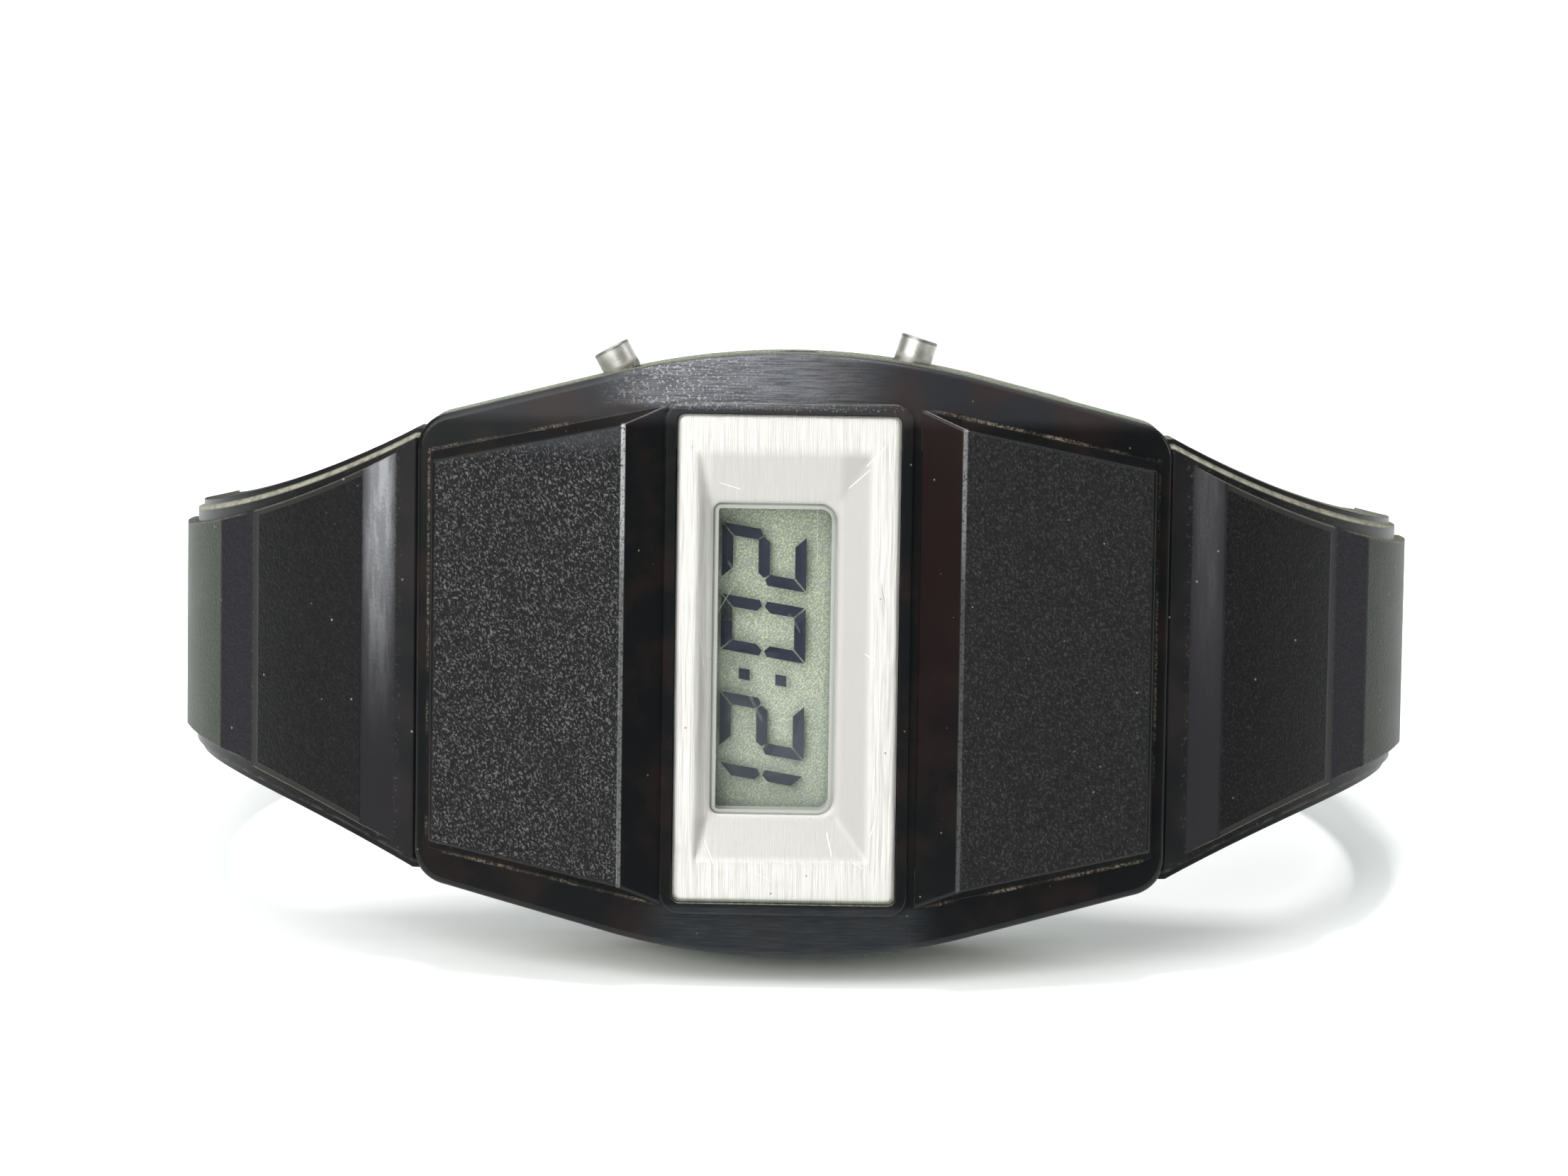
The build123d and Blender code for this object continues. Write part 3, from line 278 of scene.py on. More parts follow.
def case_resin():
    finish = Finish("case_resin")
    x, y, z = dial_place(finish)
    out, high = abs(x), abs(y)
    flat = finish.joined(x, y, z)
    left = x.ramp(1, -1)

    front = facing(finish, dial_way)
    crest_x, crest_top = BLOCK_TOP[0], BLOCK_TOP[2]
    past_top, past_foot = high - block_edge(out, BLOCK_TOP), high - block_edge(out, BLOCK_FOOT)
    panel = out.within(crest_x + 0.03, PANEL_END, 0.08) * past_top.ramp(0.03, -0.12)
    wall = abs(front).ramp(0.3, 0.12) * (high - 12).ramp(0, 0.5)
    painted_edge_shade = front.within(0.14, 0.42, 0.06) * (high - 12.5).ramp(0, 0.5)
    slope = out.within(SLOPE_START, crest_x - 0.15, 0.1) * (high - RIM_START).ramp(0.1, -0.1)
    crest = abs(out - crest_x - 0.03).ramp(0.17, 0.06) * (high - crest_top).ramp(0.2, -0.1)
    polish_and_highlight = (y - RIM_START).ramp(0, 0.5) * x.ramp(6.5, -2) * x.ramp(-12, -6.5) * (1 - wall)
    bottom_rim_and_sheen = (y + 14.4).ramp(0, -0.4) * out.ramp(9.5, 6)

    grain = leather(finish, x, y, z)
    cloud = finish.noise(flat, 0.35, 3)
    mottle = finish.noise(flat, 4.6, 4, 0.85)
    wear_lines = finish.noise(finish.joined(x * 0.5, y * 12, z), 1.0, 4, 0.7)
    pits = finish.noise(flat, 5.5, 2, 0.6)

    black = finish.mixed(cloud.ramp(0.42, 0.7), (0.0040, 0.0048, 0.0052), (0.0105, 0.0072, 0.0068))
    # painted highlight: the pebbles' tops are painted pale, much more on the left block, where the key
    # light falls
    pebble_top = grain.ramp(0.60, 0.86)
    painted_glint = pebble_top * (0.24 + left * 0.5 + left * cloud.ramp(0.35, 0.65) * 0.3)
    panel_black = finish.mixed(painted_glint, (0.0012, 0.0012, 0.0014), (0.115, 0.112, 0.120))
    colour = finish.mixed(panel, black, panel_black)
    inside = block_edge(out, BLOCK_TOP) - y
    smooth_band = x.ramp(-17.5, -10.2) * 1.1 - inside + (pits - 0.5) * 1.2
    smooth_band = smooth_band.ramp(-0.5, 0.5) * left * panel
    colour = finish.mixed(smooth_band * 0.7, colour, (0.024, 0.026, 0.030))
    # painted sheen: the top rim is painted a little paler than the rest of the black
    top_rim_and_sheen = (y - 13.2).ramp(0, 1) * (1 - wall) * (1 - panel)
    colour = finish.mixed(top_rim_and_sheen * 0.6, colour, finish.mixed(
        cloud.ramp(0.4, 0.6), (0.028, 0.030, 0.035), (0.036, 0.028, 0.028)))
    # the polished strip is painted pale grey: partly wear lines and pits, partly a painted highlight
    wear_and_highlight = finish.mixed(wear_lines.ramp(0.38, 0.62), (0.070, 0.074, 0.084), (0.185, 0.19, 0.205))
    wear_and_highlight = finish.mixed(pits.ramp(0.52, 0.66) * x.ramp(1, -7) * 0.8, wear_and_highlight, (0.46, 0.46, 0.48))
    colour = finish.mixed(polish_and_highlight * 0.85, colour, wear_and_highlight)
    # painted sheen: the bottom rim is painted bluish grey, streaked along the wear lines
    colour = finish.mixed(bottom_rim_and_sheen * 0.7, colour, finish.mixed(
        wear_lines.ramp(0.4, 0.75), (0.014, 0.017, 0.020), (0.036, 0.040, 0.045)))
    reddish = slope * (1 - left) * y.ramp(-12, 6)
    colour = finish.mixed(reddish * 0.9, colour, (0.0105, 0.0050, 0.0052))
    # painted shade: the side wall is painted darker towards the right; it is also darker towards its
    # front edge
    bare_and_shade = mottle.ramp(0.4, 0.6) * (1 - x.ramp(-8, 10) * 0.2) * (0.45 + z.ramp(-0.5, -6) * 0.55)
    grey_green_and_shade = finish.mixed(bare_and_shade, (0.026, 0.033, 0.020), (0.34, 0.36, 0.275))
    colour = finish.mixed(wall, colour, grey_green_and_shade)
    # painted shade: a dark line along the rounded edge between the dial side and the side wall
    colour = finish.mixed(painted_edge_shade * 0.8, colour, (0.004, 0.004, 0.003))

    # dirt gathers along the feet of the blocks; the inner crests are painted pale, partly as rubbing
    # and partly as a painted highlight
    foot_line = abs(past_foot - 0.06).ramp(0.13, 0.03) * out.ramp(21.5, 21.2)
    end_line = abs(out - 21.32).ramp(0.11, 0.03) * (high - 11.6).ramp(0.1, 0) * (0.3 + left * 0.3)
    spots = finish.noise(flat, 6, 4, 0.8)
    patches = finish.noise(flat, 0.3, 2).ramp(0.4, 0.62)
    dirt = (foot_line.most(end_line) * spots.ramp(0.44, 0.6) * patches * out.ramp(7.5, 9)).least(1)
    colour = finish.mixed(dirt * 0.85, colour, (0.26, 0.215, 0.145))
    crumbs = spots.ramp(0.68, 0.74) * past_foot.within(-0.1, 1.0, 0.15)
    colour = finish.mixed(crumbs * patches * (1 - wall) * 0.7, colour, (0.24, 0.2, 0.15))
    rubbed_and_highlight = crest * (0.3 + y.ramp(3, 9) * 0.7) * (0.35 + left * 0.65) * spots.ramp(0.36, 0.5)
    colour = finish.mixed(rubbed_and_highlight * 0.9, colour, (0.5, 0.505, 0.51))
    plate_edge = y.within(14.35, 14.75, 0.12) * out.ramp(6.6, 6.2) * spots.ramp(0.55, 0.66)
    colour = finish.mixed(plate_edge * 0.8, colour, (0.30, 0.27, 0.22))
    dust = specks(finish, flat, 1.1, 0.07) * finish.noise(flat, 0.9, 1).ramp(0.5, 0.6) * (1 - wall)
    colour = finish.mixed(dust * 0.6, colour, (0.27, 0.24, 0.17))

    rough = (0.17 + panel * (0.28 - pebble_top * 0.16) + top_rim_and_sheen * 0.1 + polish_and_highlight * 0.22
             + bottom_rim_and_sheen * 0.1 + wall * 0.6 + dirt * 0.5 + cloud * 0.06 - slope * 0.06)
    height = (grain * panel * (1 - smooth_band * 0.85) * 2.0 + polish_and_highlight * wear_lines * 0.3
              + polish_and_highlight * pits.ramp(0.45, 0.7) * 0.5 + wall * mottle * 1.2
              + dirt * 0.4 + rubbed_and_highlight * 0.2 + crumbs * 0.3)
    return finish.surface(
        Base_Color=colour, Roughness=rough.least(0.95), IOR=1.29,
        Normal=finish.bump(height, 0.06, 1.0, finish.soft_edges(0.09)))


# %% [markdown]
# ## The strap's resin
# Softer and duller than the case. Its zones follow the bend, so the point's angle round the bend is
# worked out first. The bevels of the two blocks are smooth and the near one is dusty. Their panels
# are grained, the near one inside a thin bare outline that is painted paler as a painted highlight,
# and the far one is painted greenish grey as a painted sheen. The upper step and the upper side wall
# are painted pale, partly as dust and fading and partly as painted light from above.

# %% Masks on the strap
STRAP_BEND = (18.601, -20.398)
# each block's angles round the bend: where its bevel starts, its panel starts and its panel ends
STRAP_BLOCKS = ((14.7, 20.1, 44.6), (47.9, 55.4, 94.0))
# half widths at the root, half way and at the far end
BLOCK_WIDTH = (12.1, 8.55, 6.25)
STRAP_WIDTH = (12.95, 9.6, 7.5)
STRAP_ROOT, STRAP_REACH = 22.15, 15.05
INNER_RADIUS, TOP_RADIUS = 18.0, 18.35


def half_width(out, widths):
    """Half the strap's or a block's width: a curve through its near, middle and far widths."""
    near, middle, far = widths
    share = ((out - STRAP_ROOT) / STRAP_REACH).most(0).least(1)
    bend, turn = 4 * middle - 3 * near - far, 2 * near + 2 * far - 4 * middle
    return near + share * bend + share * share * turn


def strap_resin():
    finish = Finish("band_resin")
    x, y, z = dial_place(finish)
    out, high = abs(x), abs(y)
    flat = finish.joined(x, y, z)

    across, up = out - STRAP_BEND[0], z - STRAP_BEND[1]
    angle = across.maths("ARCTAN2", across, up) * degrees(1)
    outside = (across * across + up * up) ** 0.5
    on_top = outside.ramp(TOP_RADIUS, TOP_RADIUS + 0.15)
    inside_edge = high - half_width(out, BLOCK_WIDTH)
    on_block = inside_edge.ramp(0.02, -0.02)
    fine = finish.noise(flat, 7, 3, 0.7)
    ragged = angle + (fine - 0.5) * 0.8
    bevels = [ragged.within(start, panel_start, 0.3) * on_block * on_top
              for start, panel_start, _ in STRAP_BLOCKS]
    panels = [angle.within(panel_start + 0.3, panel_end - 0.3, 0.12) * on_block * on_top
              for _, panel_start, panel_end in STRAP_BLOCKS]
    outline = panels[0] * inside_edge.ramp(-0.42, -0.34).most(angle.ramp(43.4, 43.7))
    grained = (panels[0] - outline).most(panels[1])

    grain = leather(finish, x, y, z)
    cloud = finish.noise(flat, 0.3, 3)
    streaks = finish.noise(finish.joined(x * 2.2, y * 0.25, z), 1.0, 3, 0.6)
    left = x.ramp(1, -1)
    side = abs(facing(finish, pusher_way)).ramp(0.7, 0.85)

    colour = finish.mixed(cloud.ramp(0.35, 0.7), (0.0058, 0.0066, 0.0072), (0.0125, 0.0108, 0.0108))
    colour = finish.mixed(grained, colour, finish.mixed(
        grain.ramp(0.62, 0.95), (0.0018, 0.0018, 0.0020), (0.018, 0.018, 0.019)))
    # painted highlight: the bare outline, a narrow chamfer, is painted a little paler
    colour = finish.mixed(outline * 0.7, colour, (0.026, 0.026, 0.024))
    middle = angle.within(15.6, 19.2, 1.0) * 0.75 + 0.25
    uneven = 0.55 + (fine * 0.6 + streaks * 1.4).ramp(0.8, 1.2) * 0.45
    dusty = (y.ramp(-9, 9) ** 2) * middle * (0.12 + left * 0.88) * uneven
    colour = finish.mixed(bevels[0], colour, finish.mixed(
        dusty, (0.012, 0.012, 0.0145), (0.29, 0.29, 0.305)))
    colour = finish.mixed(bevels[1], colour, finish.mixed(
        fine.ramp(0.4, 0.7), (0.0085, 0.0078, 0.0105), (0.020, 0.018, 0.024)))
    # painted sheen: the far panels are painted greenish grey, more on the left
    greenish_sheen = finish.mixed(fine.ramp(0.4, 0.65), (0.020, 0.027, 0.019), (0.042, 0.051, 0.035))
    colour = finish.mixed(panels[1] * (0.6 + left * 0.3), colour, greenish_sheen)

    # the step along the upper edge is painted pale, partly as dust and partly as painted light from
    # above; the lower one is only rubbed here and there
    edge_gap = half_width(out, STRAP_WIDTH) - high
    ledge = edge_gap.within(0.3, 0.56, 0.06) * (outside - INNER_RADIUS).ramp(0, 0.2)
    pale = ledge * y.ramp(2, 4) * (0.6 + streaks.ramp(0.35, 0.6) * 0.4)
    colour = finish.mixed(pale * 0.85, colour, (0.36, 0.35, 0.28))
    faint = ledge * y.ramp(-2, -4) * finish.noise(flat, 1.4, 3).ramp(0.4, 0.62)
    colour = finish.mixed(faint * 0.5, colour, (0.06, 0.062, 0.055))
    rubbed_and_highlight = abs(inside_edge).ramp(0.11, 0.03) * (outside - 18.6).ramp(0, 0.3)
    colour = finish.mixed(rubbed_and_highlight * (0.3 + fine.ramp(0.4, 0.6) * 0.4), colour, (0.12, 0.118, 0.1))
    gap = angle.within(46.9, 48.0, 0.3).most(angle.within(13.6, 14.8, 0.4))
    step = inside_edge.within(0.0, 0.35, 0.12)
    dirt = (gap * 0.7).most(step * 0.4) * on_top * finish.noise(flat, 4.2, 4, 0.8).ramp(0.56, 0.7)
    colour = finish.mixed(dirt * 0.7, colour, (0.16, 0.135, 0.1))
    dust = specks(finish, flat, 0.8, 0.07) * finish.noise(flat, 0.8, 1).ramp(0.48, 0.58)
    colour = finish.mixed(dust * 0.6, colour, (0.3, 0.29, 0.24))
    # the upper side wall is painted pale grey-green, more on the right: partly fading, partly painted
    # light from above
    faded_and_lit_side = side * y.ramp(0, 1) * (0.15 + x.ramp(-1, 1) * 0.7)
    colour = finish.mixed(faded_and_lit_side, colour, finish.mixed(
        fine.ramp(0.4, 0.6), (0.026, 0.030, 0.020), (0.20, 0.205, 0.155)))

    bevel = bevels[0].most(bevels[1])
    rough = (0.30 + grained * 0.10 + bevel * 0.15 + dirt * 0.3 + cloud * 0.08 + pale * 0.4
             + side * 0.55)
    height = grain * grained * 1.4 + fine * bevel * 0.12 + dirt * 0.4
    return finish.surface(
        Base_Color=colour, Roughness=rough.least(0.95), IOR=1.24,
        Normal=finish.bump(height, 0.05, 0.9, finish.soft_edges(0.12)))


# %% [markdown]
# ## Brushed metal
# The dial plate is brushed across the strap's direction: long faint lines along y that differ in
# brightness and depth. A noise that is stretched a hundred times along y draws them. The dish is
# rougher than the rim of the plate and painted darker as painted shade, each facet by how much light
# it gets. A few scratches cross both.

# %% Brushed plate
# from one point to another, then the width
SCRATCHES = (
    (-4.3, 10.1, -3.1, 9.75, 0.045), (4.2, 11.2, 5.3, 12.4, 0.05), (-5.9, 12.2, -5.6, 12.0, 0.16),
    (3.2, 9.9, 4.4, 11.0, 0.05), (2.2, -10.3, 2.5, -11.6, 0.06), (5.0, -9.5, 4.7, -10.4, 0.06),
    (-4.9, -10.9, -4.4, -12.1, 0.05), (3.7, -11.9, 4.3, -12.3, 0.06), (4.3, 0.3, 4.9, -0.1, 0.05),
    (-5.4, 2.0, -5.1, -0.6, 0.035), (5.2, 4.3, 5.5, 3.0, 0.04), (-1.9, -12.7, -0.9, -13.2, 0.05),
)
DISH_LEFT, DISH_RIGHT, DISH_HALF = -5.5, 4.65, 12.0


def scratches(x, y, lines):
    """1 on thin straight lines, each between two points of the dial."""
    marks = None
    for ax, ay, bx, by, width in lines:
        length = sqrt((bx - ax) ** 2 + (by - ay) ** 2)
        ux, uy = (bx - ax) / length, (by - ay) / length
        along = (x - ax) * ux + (y - ay) * uy
        aside = abs((x - ax) * uy - (y - ay) * ux)
        mark = aside.ramp(width, width * 0.3) * along.within(0, length, 0.1)
        marks = marks.most(mark) if marks else mark
    return marks


def brushed_plate():
    finish = Finish("brushed_plate")
    x, y, z = dial_place(finish)
    flat = finish.joined(x, y, z)
    wavy = x + finish.noise(finish.joined(x * 0.2, y * 0.2, 0), 1.0, 1) * 0.25
    fine = finish.noise(finish.joined(wavy * 22, y * 0.22, z * 2), 1.0, 3, 0.7)
    broad = finish.noise(finish.joined(wavy * 5, y * 0.09, z), 1.0, 2, 0.6)
    stain = finish.noise(flat, 0.5, 3)
    lines = fine * 0.8 + broad * 0.2
    marks = scratches(x, y, SCRATCHES)
    pits = specks(finish, flat, 0.85, 0.06) * finish.noise(flat, 0.6, 1).ramp(0.5, 0.6)

    colour = finish.mixed(lines.ramp(0.36, 0.64), (0.61, 0.595, 0.565), (0.83, 0.815, 0.785))
    dish = x.within(DISH_LEFT, DISH_RIGHT, 0.45) * abs(y).ramp(DISH_HALF + 0.45, DISH_HALF - 0.45)
    # painted shade: the dish is painted darker, the bottom and right facets more and the left facet
    # less, by how much light each gets
    turned = y.ramp(-9.2, -9.8).most(x.ramp(2.5, 3.1))
    shade = dish * (0.6 + turned * 0.26 - x.ramp(-4.5, -5.0) * 0.2)
    colour = finish.mixed(shade, colour, (0.42, 0.41, 0.395))
    colour = finish.mixed(stain.ramp(0.55, 0.85) * 0.3, colour, (0.50, 0.47, 0.41))
    colour = finish.mixed(pits * 0.8, colour, (0.22, 0.16, 0.11))
    colour = finish.mixed(marks * 0.4, colour, (0.98, 0.97, 0.95))
    rough = 0.36 + lines.ramp(0.3, 0.7) * 0.16 + dish * 0.14 - marks * 0.1
    height = lines - marks * 0.6 - pits * 0.8
    return finish.surface(
        Base_Color=colour, Roughness=rough, Metallic=1.0,
        Normal=finish.bump(height, 0.015, 0.8, finish.soft_edges(0.5)))


# %% [markdown]
# ## The window and the display
# The window is a clear moulding over two thin glasses. Light that had to bend through six surfaces
# would take very long to settle, so each clear pane is a nearly transparent gloss: it keeps the
# reflections and lets the display show. The bevelled rim of the window is less clear, because it
# bends the light away, and it is painted pale grey as a painted highlight. The ground of the display
# is a granular foil, painted darker along the window's edge as the bezel's painted shadow.

# %% Clear panes
WINDOW_X, WINDOW_Y, WINDOW_LENGTH, WINDOW_HEIGHT = -1.05, -0.17, 7.23, 18.25
HAIRLINES = (
    (-3.8, 5.5, -2.6, 3.9, 0.03), (-3.4, 4.1, -4.3, 2.6, 0.03), (1.4, 8.6, 1.45, 5.2, 0.03),
    (-0.2, 2.5, 0.5, 1.4, 0.025), (-2.5, -2.2, -1.6, -3.9, 0.025), (1.1, -6.3, 0.2, -7.0, 0.025),
)


def window_depth(x, y):
    """Distance inside the window's edge, in millimetres. Its right corners are rounder."""
    corner = 0.5 + (x - WINDOW_X).ramp(-0.5, 0.5) * 0.5
    past_x = abs(x - WINDOW_X) + corner - WINDOW_LENGTH / 2
    past_y = abs(y - WINDOW_Y) + corner - WINDOW_HEIGHT / 2
    round_part = (past_x.most(0) ** 2 + past_y.most(0) ** 2) ** 0.5
    return corner - round_part - past_x.most(past_y).least(0)


def clear_lens():
    finish = Finish("clear_lens")
    x, y, z = dial_place(finish)
    depth = window_depth(x, y)
    rim = depth.ramp(0.36, 0.3)
    haze = finish.noise(finish.joined(x * 0.8, y * 0.8, z), 1.0, 3)
    hair = scratches(x, y, HAIRLINES)
    # painted highlight: the bevelled rim is painted pale grey; the hairline scratches are pale too
    colour = finish.mixed(rim.most(hair), (0.03, 0.036, 0.034), (0.66, 0.68, 0.64))
    alpha = 0.02 + rim * 0.4 + haze.ramp(0.5, 0.8) * 0.02 + hair * 0.16
    return finish.surface(
        Base_Color=colour, Alpha=alpha, Roughness=0.06 + rim * 0.08, IOR=1.49,
        Normal=finish.bump(haze, 0.004, 0.3, finish.soft_edges(0.1)))


def thin_glass(name, colour, clear):
    finish = Finish(name)
    x, y, z = dial_place(finish)
    haze = finish.noise(finish.joined(x, y, z), 0.7, 2)
    tint = finish.mixed(haze, colour, tuple(0.9 * part for part in colour))
    return finish.surface(
        Base_Color=tint, Alpha=clear + haze * 0.006, Roughness=0.08 + haze * 0.05, IOR=1.5)


# %% Display ground and strokes
def display_ground():
    finish = Finish("display_reflector")
    x, y, z = dial_place(finish)
    flat = finish.joined(x, y, z)
    slanted = finish.joined((x + y) * 1.0, (y - x) * 1.7, z)
    grit = finish.noise(slanted, 5.6, 3, 0.65)
    spots = finish.cells(slanted, 4.8, smooth=0.4)
    tone = grit * 0.8 + (1 - spots) * 0.3
    pale = finish.mixed(y.ramp(-9, 7), (0.66, 0.70, 0.53), (0.73, 0.745, 0.54))
    dark = finish.mixed(y.ramp(-9, 7), (0.34, 0.40, 0.33), (0.31, 0.37, 0.29))
    colour = finish.mixed(tone.ramp(0.46, 0.72), dark, pale)
    bluish = finish.noise(flat, 1.9, 2).ramp(0.5, 0.68)
    colour = finish.mixed(bluish * 0.3, colour, (0.36, 0.46, 0.44))
    # painted shadow: the ground is painted darker near the window's edge, a little more on the left,
    # as the bezel's shadow
    depth = window_depth(x + 0.1, y)
    colour = finish.mixed(depth.ramp(0.75, 0.1) * 0.55, colour, (0.16, 0.19, 0.17))
    return finish.surface(
        Base_Color=colour, Roughness=0.55, Normal=finish.bump(tone, 0.05, 0.6))


def display_ink():
    finish = Finish("display_ink")
    x, y, z = dial_place(finish)
    streak = finish.noise(finish.joined(x * 2.5, y * 0.8, z), 1.0, 3)
    faded = y.ramp(-0.2, -3.2)
    colour = finish.mixed(faded, (0.0085, 0.0125, 0.036), (0.046, 0.056, 0.075))
    colour = finish.mixed(streak.ramp(0.5, 0.8) * 0.4, colour, (0.035, 0.045, 0.085))
    return finish.surface(Base_Color=colour, Roughness=0.4 + streak * 0.1)


# %% [markdown]
# ## Turned and rolled metal
# The pushers are turned from bar and nickel-plated: fine rings round their own axis, a rim of grime
# where they enter the case, and a dull end. The other metal parts differ only in colour, grain
# and the way that the brushing runs, so one function makes them.

# %% Pushers
# where each starts along x and how many degrees it leans, then their level below the dial
PUSHERS = {"light_pusher": (-10.2, 29.0), "mode_pusher": (6.8, -17.5), "set_pusher": (0.2, 0.0)}
PUSHER_LEVEL = -4.4
# the arc of the case wall that they stand on
CROWN_RADIUS, CASE_HALF = 43.0, 17.65


def pusher_metal(name):
    finish = Finish(name + "_nickel")
    x, y, z = dial_place(finish)
    start_x, tilt = PUSHERS[name]
    lean_x, lean_y = -sin(radians(tilt)), cos(radians(tilt))
    wall_y = CASE_HALF - CROWN_RADIUS + sqrt(CROWN_RADIUS ** 2 - start_x ** 2)
    outward = (x - start_x) * lean_x + (y - wall_y) * lean_y
    aside = (x - start_x) * lean_y - (y - wall_y) * lean_x
    centre = (aside * aside + (z - PUSHER_LEVEL) ** 2) ** 0.5
    rings = finish.noise(finish.joined(outward * 16, centre * 0.4, 0), 1.0, 2, 0.6)
    cloud = finish.noise(finish.joined(x, y, z), 1.6, 3)
    end = facing(finish, Vector(six_way * lean_x + pusher_way * lean_y)).ramp(0.7, 0.95)
    faces = finish.noise(finish.joined(centre * 9, 0, 0), 1.0, 2)
    grime = outward.ramp(0.5, 0.05) * (0.45 + cloud.ramp(0.35, 0.6) * 0.55)
    ring = outward.ramp(1.3, 1.42) * centre.ramp(0.92, 1.0)

    colour = finish.mixed(cloud.ramp(0.3, 0.75), (0.50, 0.49, 0.46), (0.66, 0.65, 0.61))
    colour = finish.mixed(grime, colour, (0.10, 0.095, 0.075))
    colour = finish.mixed(ring * 0.7, colour, (0.10, 0.095, 0.085))
    rough = 0.36 + rings * 0.14 + grime * 0.3 + end * 0.05
    height = rings * (1 - end) + faces * end
    return finish.surface(
        Base_Color=colour, Roughness=rough.least(0.9), Metallic=1 - grime * 0.8,
        Normal=finish.bump(height, 0.012, 0.8, finish.soft_edges(0.05)))


# %% Other metal parts
def plain_metal(name, colour, rough, run=(1, 9, 9)):
    """Run is how fine the brushing is along x, y and z: the small number is its direction."""
    finish = Finish(name)
    x, y, z = dial_place(finish)
    lines = finish.noise(finish.joined(x * run[0], y * run[1], z * run[2]), 1.0, 3, 0.65)
    cloud = finish.noise(finish.joined(x, y, z), 0.6, 3)
    darker = tuple(0.62 * part for part in colour)
    tone = finish.mixed(lines.ramp(0.3, 0.72) * 0.7 + cloud * 0.3, darker, colour)
    marks = specks(finish, finish.joined(x, y, z), 0.7, 0.07) * cloud.ramp(0.5, 0.6)
    tone = finish.mixed(marks * 0.6, tone, (0.12, 0.1, 0.08))
    return finish.surface(
        Base_Color=tone, Roughness=rough + lines * 0.14, Metallic=1.0,
        Normal=finish.bump(lines, 0.01, 0.6, finish.soft_edges(0.08)))


# %% [markdown]
# ## The parts inside
# They show only when the watch is opened or drawn apart, but each is finished too: a white tray
# with flow marks, a green board with its copper runs, black resin over the chip, and dull rubber.

# %% Plastics and rubber
def plain_plastic(name, colour, rough, depth=0.02, scale=4.0):
    finish = Finish(name)
    x, y, z = dial_place(finish)
    flat = finish.joined(x, y, z)
    fine = finish.noise(flat, scale, 3, 0.6)
    flow = finish.noise(flat, 0.35, 2, 0.5, 1.2)
    darker = tuple(0.72 * part for part in colour)
    tone = finish.mixed(fine * 0.5 + flow * 0.5, darker, colour)
    return finish.surface(
        Base_Color=tone, Roughness=rough + flow * 0.12,
        Normal=finish.bump(fine, depth, 0.6, finish.soft_edges(0.06)))


def board_green():
    finish = Finish("board_green")
    x, y, z = dial_place(finish)
    bend = finish.noise(finish.joined(x, y, 0), 0.22, 0)
    runs = abs(bend.maths("FRACT", y * 0.9 + bend * 9) - 0.5)
    copper = runs.ramp(0.14, 0.10) * finish.noise(finish.joined(x, y, 0), 0.3, 0).ramp(0.42, 0.46)
    pads = specks(finish, finish.joined(x, y, 0), 0.36, 0.16)
    colour = finish.mixed(copper * 0.7, (0.012, 0.085, 0.032), (0.035, 0.19, 0.07))
    colour = finish.mixed(pads, colour, (0.72, 0.56, 0.3))
    return finish.surface(
        Base_Color=colour, Roughness=0.38 - pads * 0.1, Metallic=pads,
        Normal=finish.bump(copper.most(pads), 0.03, 0.7))


# %% [markdown]
# ## Every piece gets its finish
# The record gives each node a material slot. Each finish is named after its slot, apart from the
# pushers', which are named after the pushers, so a scene that repaints the watch finds them.

# %% Hand the finishes out
steel, bright = (0.58, 0.575, 0.56), (0.68, 0.67, 0.65)
finishes = {
    "case_resin": case_resin(),
    "band_resin": strap_resin(),
    "brushed_plate": brushed_plate(),
    "clear_lens": clear_lens(),
    "black_rubber": plain_plastic("black_rubber", (0.016, 0.016, 0.016), 0.6),
    "display_glass": thin_glass("display_glass", (0.05, 0.06, 0.055), 0.01),
    "display_film": thin_glass("display_film", (0.06, 0.07, 0.055), 0.02),
    "display_ink": display_ink(),
    "display_reflector": display_ground(),
    "white_moulding": plain_plastic("white_moulding", (0.72, 0.70, 0.64), 0.42),
    "board_green": board_green(),
    "chip_resin": plain_plastic("chip_resin", (0.012, 0.012, 0.013), 0.2, 0.03, 1.5),
    "bright_nickel": plain_metal("bright_nickel", bright, 0.2, (9, 1, 9)),
    "spring_steel": plain_metal("spring_steel", steel, 0.27),
    "brass_part": plain_metal("brass_part", (0.70, 0.50, 0.22), 0.28, (5, 5, 5)),
    "back_steel": plain_metal("back_steel", steel, 0.3),
}
for row in frame["record"]["subparts"]:
    node = frame["nodes"][row["node"]]
    slot = row["material_slot"]
    finish = pusher_metal(row["node"]) if row["node"] in PUSHERS else finishes[slot]
    node.data.materials.clear()
    node.data.materials.append(finish)
print("finishes:", len(finishes) + len(PUSHERS))

# %% [markdown]
# ## Floor and backdrop
# The photograph shows one white sheet that runs under the watch and curves up behind it, so that
# no edge shows. A single bent strip does the same: flat, then a quarter round, then upright.

# %% White sheet
def white_sheet():
    finish = Finish("white_sheet")
    point = finish.node("ShaderNodeTexCoord", None, (), "Object")
    fibre = finish.noise(point, 900, 3)
    cloud = finish.noise(point, 9, 2)
    colour = finish.mixed(cloud, (0.925, 0.935, 0.94), (0.955, 0.96, 0.96))
    return finish.surface(Base_Color=colour, Roughness=0.75, Normal=finish.bump(fibre, 0.02, 0.2))


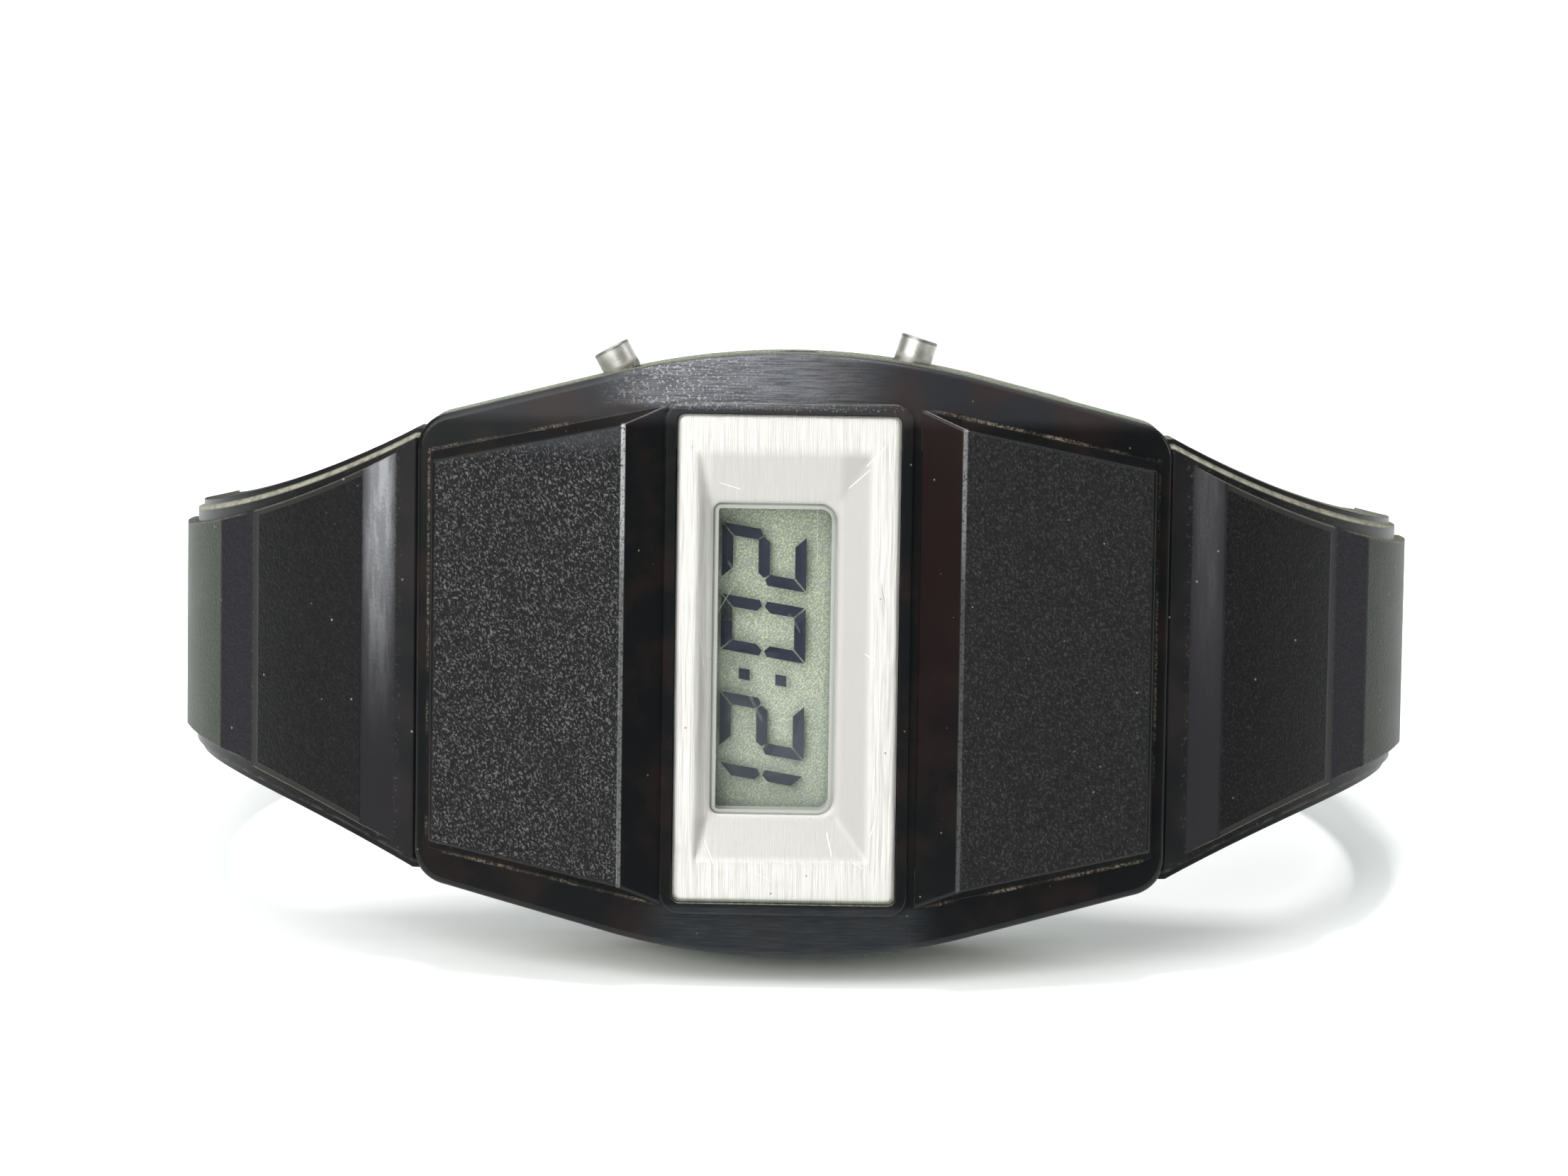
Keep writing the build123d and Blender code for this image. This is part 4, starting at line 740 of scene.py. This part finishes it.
half_sheet, front_edge, bend_start, bend_radius, wall_top = 1.6, -1.2, 0.55, 0.45, 1.9
profile = [(front_edge, 0.0), (bend_start, 0.0)]
BEND_STEPS = 24
for step in range(1, BEND_STEPS + 1):
    turned = radians(90 * step / BEND_STEPS)
    profile.append((bend_start + bend_radius * sin(turned), bend_radius * (1 - cos(turned))))
profile.append((bend_start + bend_radius, wall_top))
corners = [(side * half_sheet, y, z) for y, z in profile for side in (-1, 1)]
faces = [(2 * k, 2 * k + 1, 2 * k + 3, 2 * k + 2) for k in range(len(profile) - 1)]
sheet_mesh = bpy.data.meshes.new("white_sheet")
sheet_mesh.from_pydata(corners, [], faces)
sheet_mesh.shade_smooth()
sheet = bpy.data.objects.new("white_sheet", sheet_mesh)
bpy.context.scene.collection.objects.link(sheet)
sheet.data.materials.append(white_sheet())

# %% [markdown]
# ## Light
# A bright room with a large soft window above and a little in front: the pushers and the upper
# edges catch it. A small lamp above draws the strap's soft ring of shadow, a large light at the
# front left brings out the left block's grain, two cards fill the dial, which makes the brushed
# plate look nearly white, and one light is for the backdrop.

# %% Lamps and sky
def soft_box(name, place, look_at, size, power, colour):
    lamp = bpy.data.lights.new(name, "AREA")
    lamp.shape, lamp.size, lamp.size_y = "RECTANGLE", *size
    lamp.energy, lamp.color = power, colour
    held = bpy.data.objects.new(name, lamp)
    held.location = place
    held.rotation_euler = (Vector(look_at) - Vector(place)).to_track_quat("-Z", "Y").to_euler()
    bpy.context.scene.collection.objects.link(held)


# name, place, aim, width and length in metres, watts, colour
LAMPS = (
    ("window_above", (0, -0.2, 0.76), (0, 0, 0), (0.8, 0.5), 2.0, (0.97, 1.0, 0.99)),
    ("small_lamp_above", (0, 0.04, 0.9), (0, 0, 0), (0.12, 0.12), 4.2, (1.0, 0.98, 0.99)),
    ("key_front_left", (-0.42, -0.5, 0.62), (0, 0, 0.01), (0.9, 0.7), 6.2, (1.0, 1.0, 0.99)),
    ("card_in_front", (-0.34, -0.72, 0.34), (0, 0, 0.02), (0.6, 0.3), 2.2, (1.0, 0.995, 0.98)),
    ("card_at_the_right", (0.85, -0.05, 0.32), (0, 0, 0.02), (0.4, 0.4), 1.6, (1.0, 0.995, 0.98)),
    ("wall_light", (0, 0.2, 1.1), (0, 1.0, 0.6), (1.6, 0.4), 9.0, (0.95, 1.0, 0.98)),
)
for lamp_row in LAMPS:
    soft_box(*lamp_row)

world = bpy.data.worlds.new("room")
world.use_nodes = True
sky = world.node_tree.nodes["Background"].inputs
sky["Color"].default_value = (0.93, 1.0, 0.985, 1)
sky["Strength"].default_value = 0.17
bpy.context.scene.world = world
bpy.context.scene.view_settings.view_transform = "Standard"
# a look into the window crosses more clear surfaces than Cycles follows by itself
bpy.context.scene.cycles.transparent_max_bounces = 32
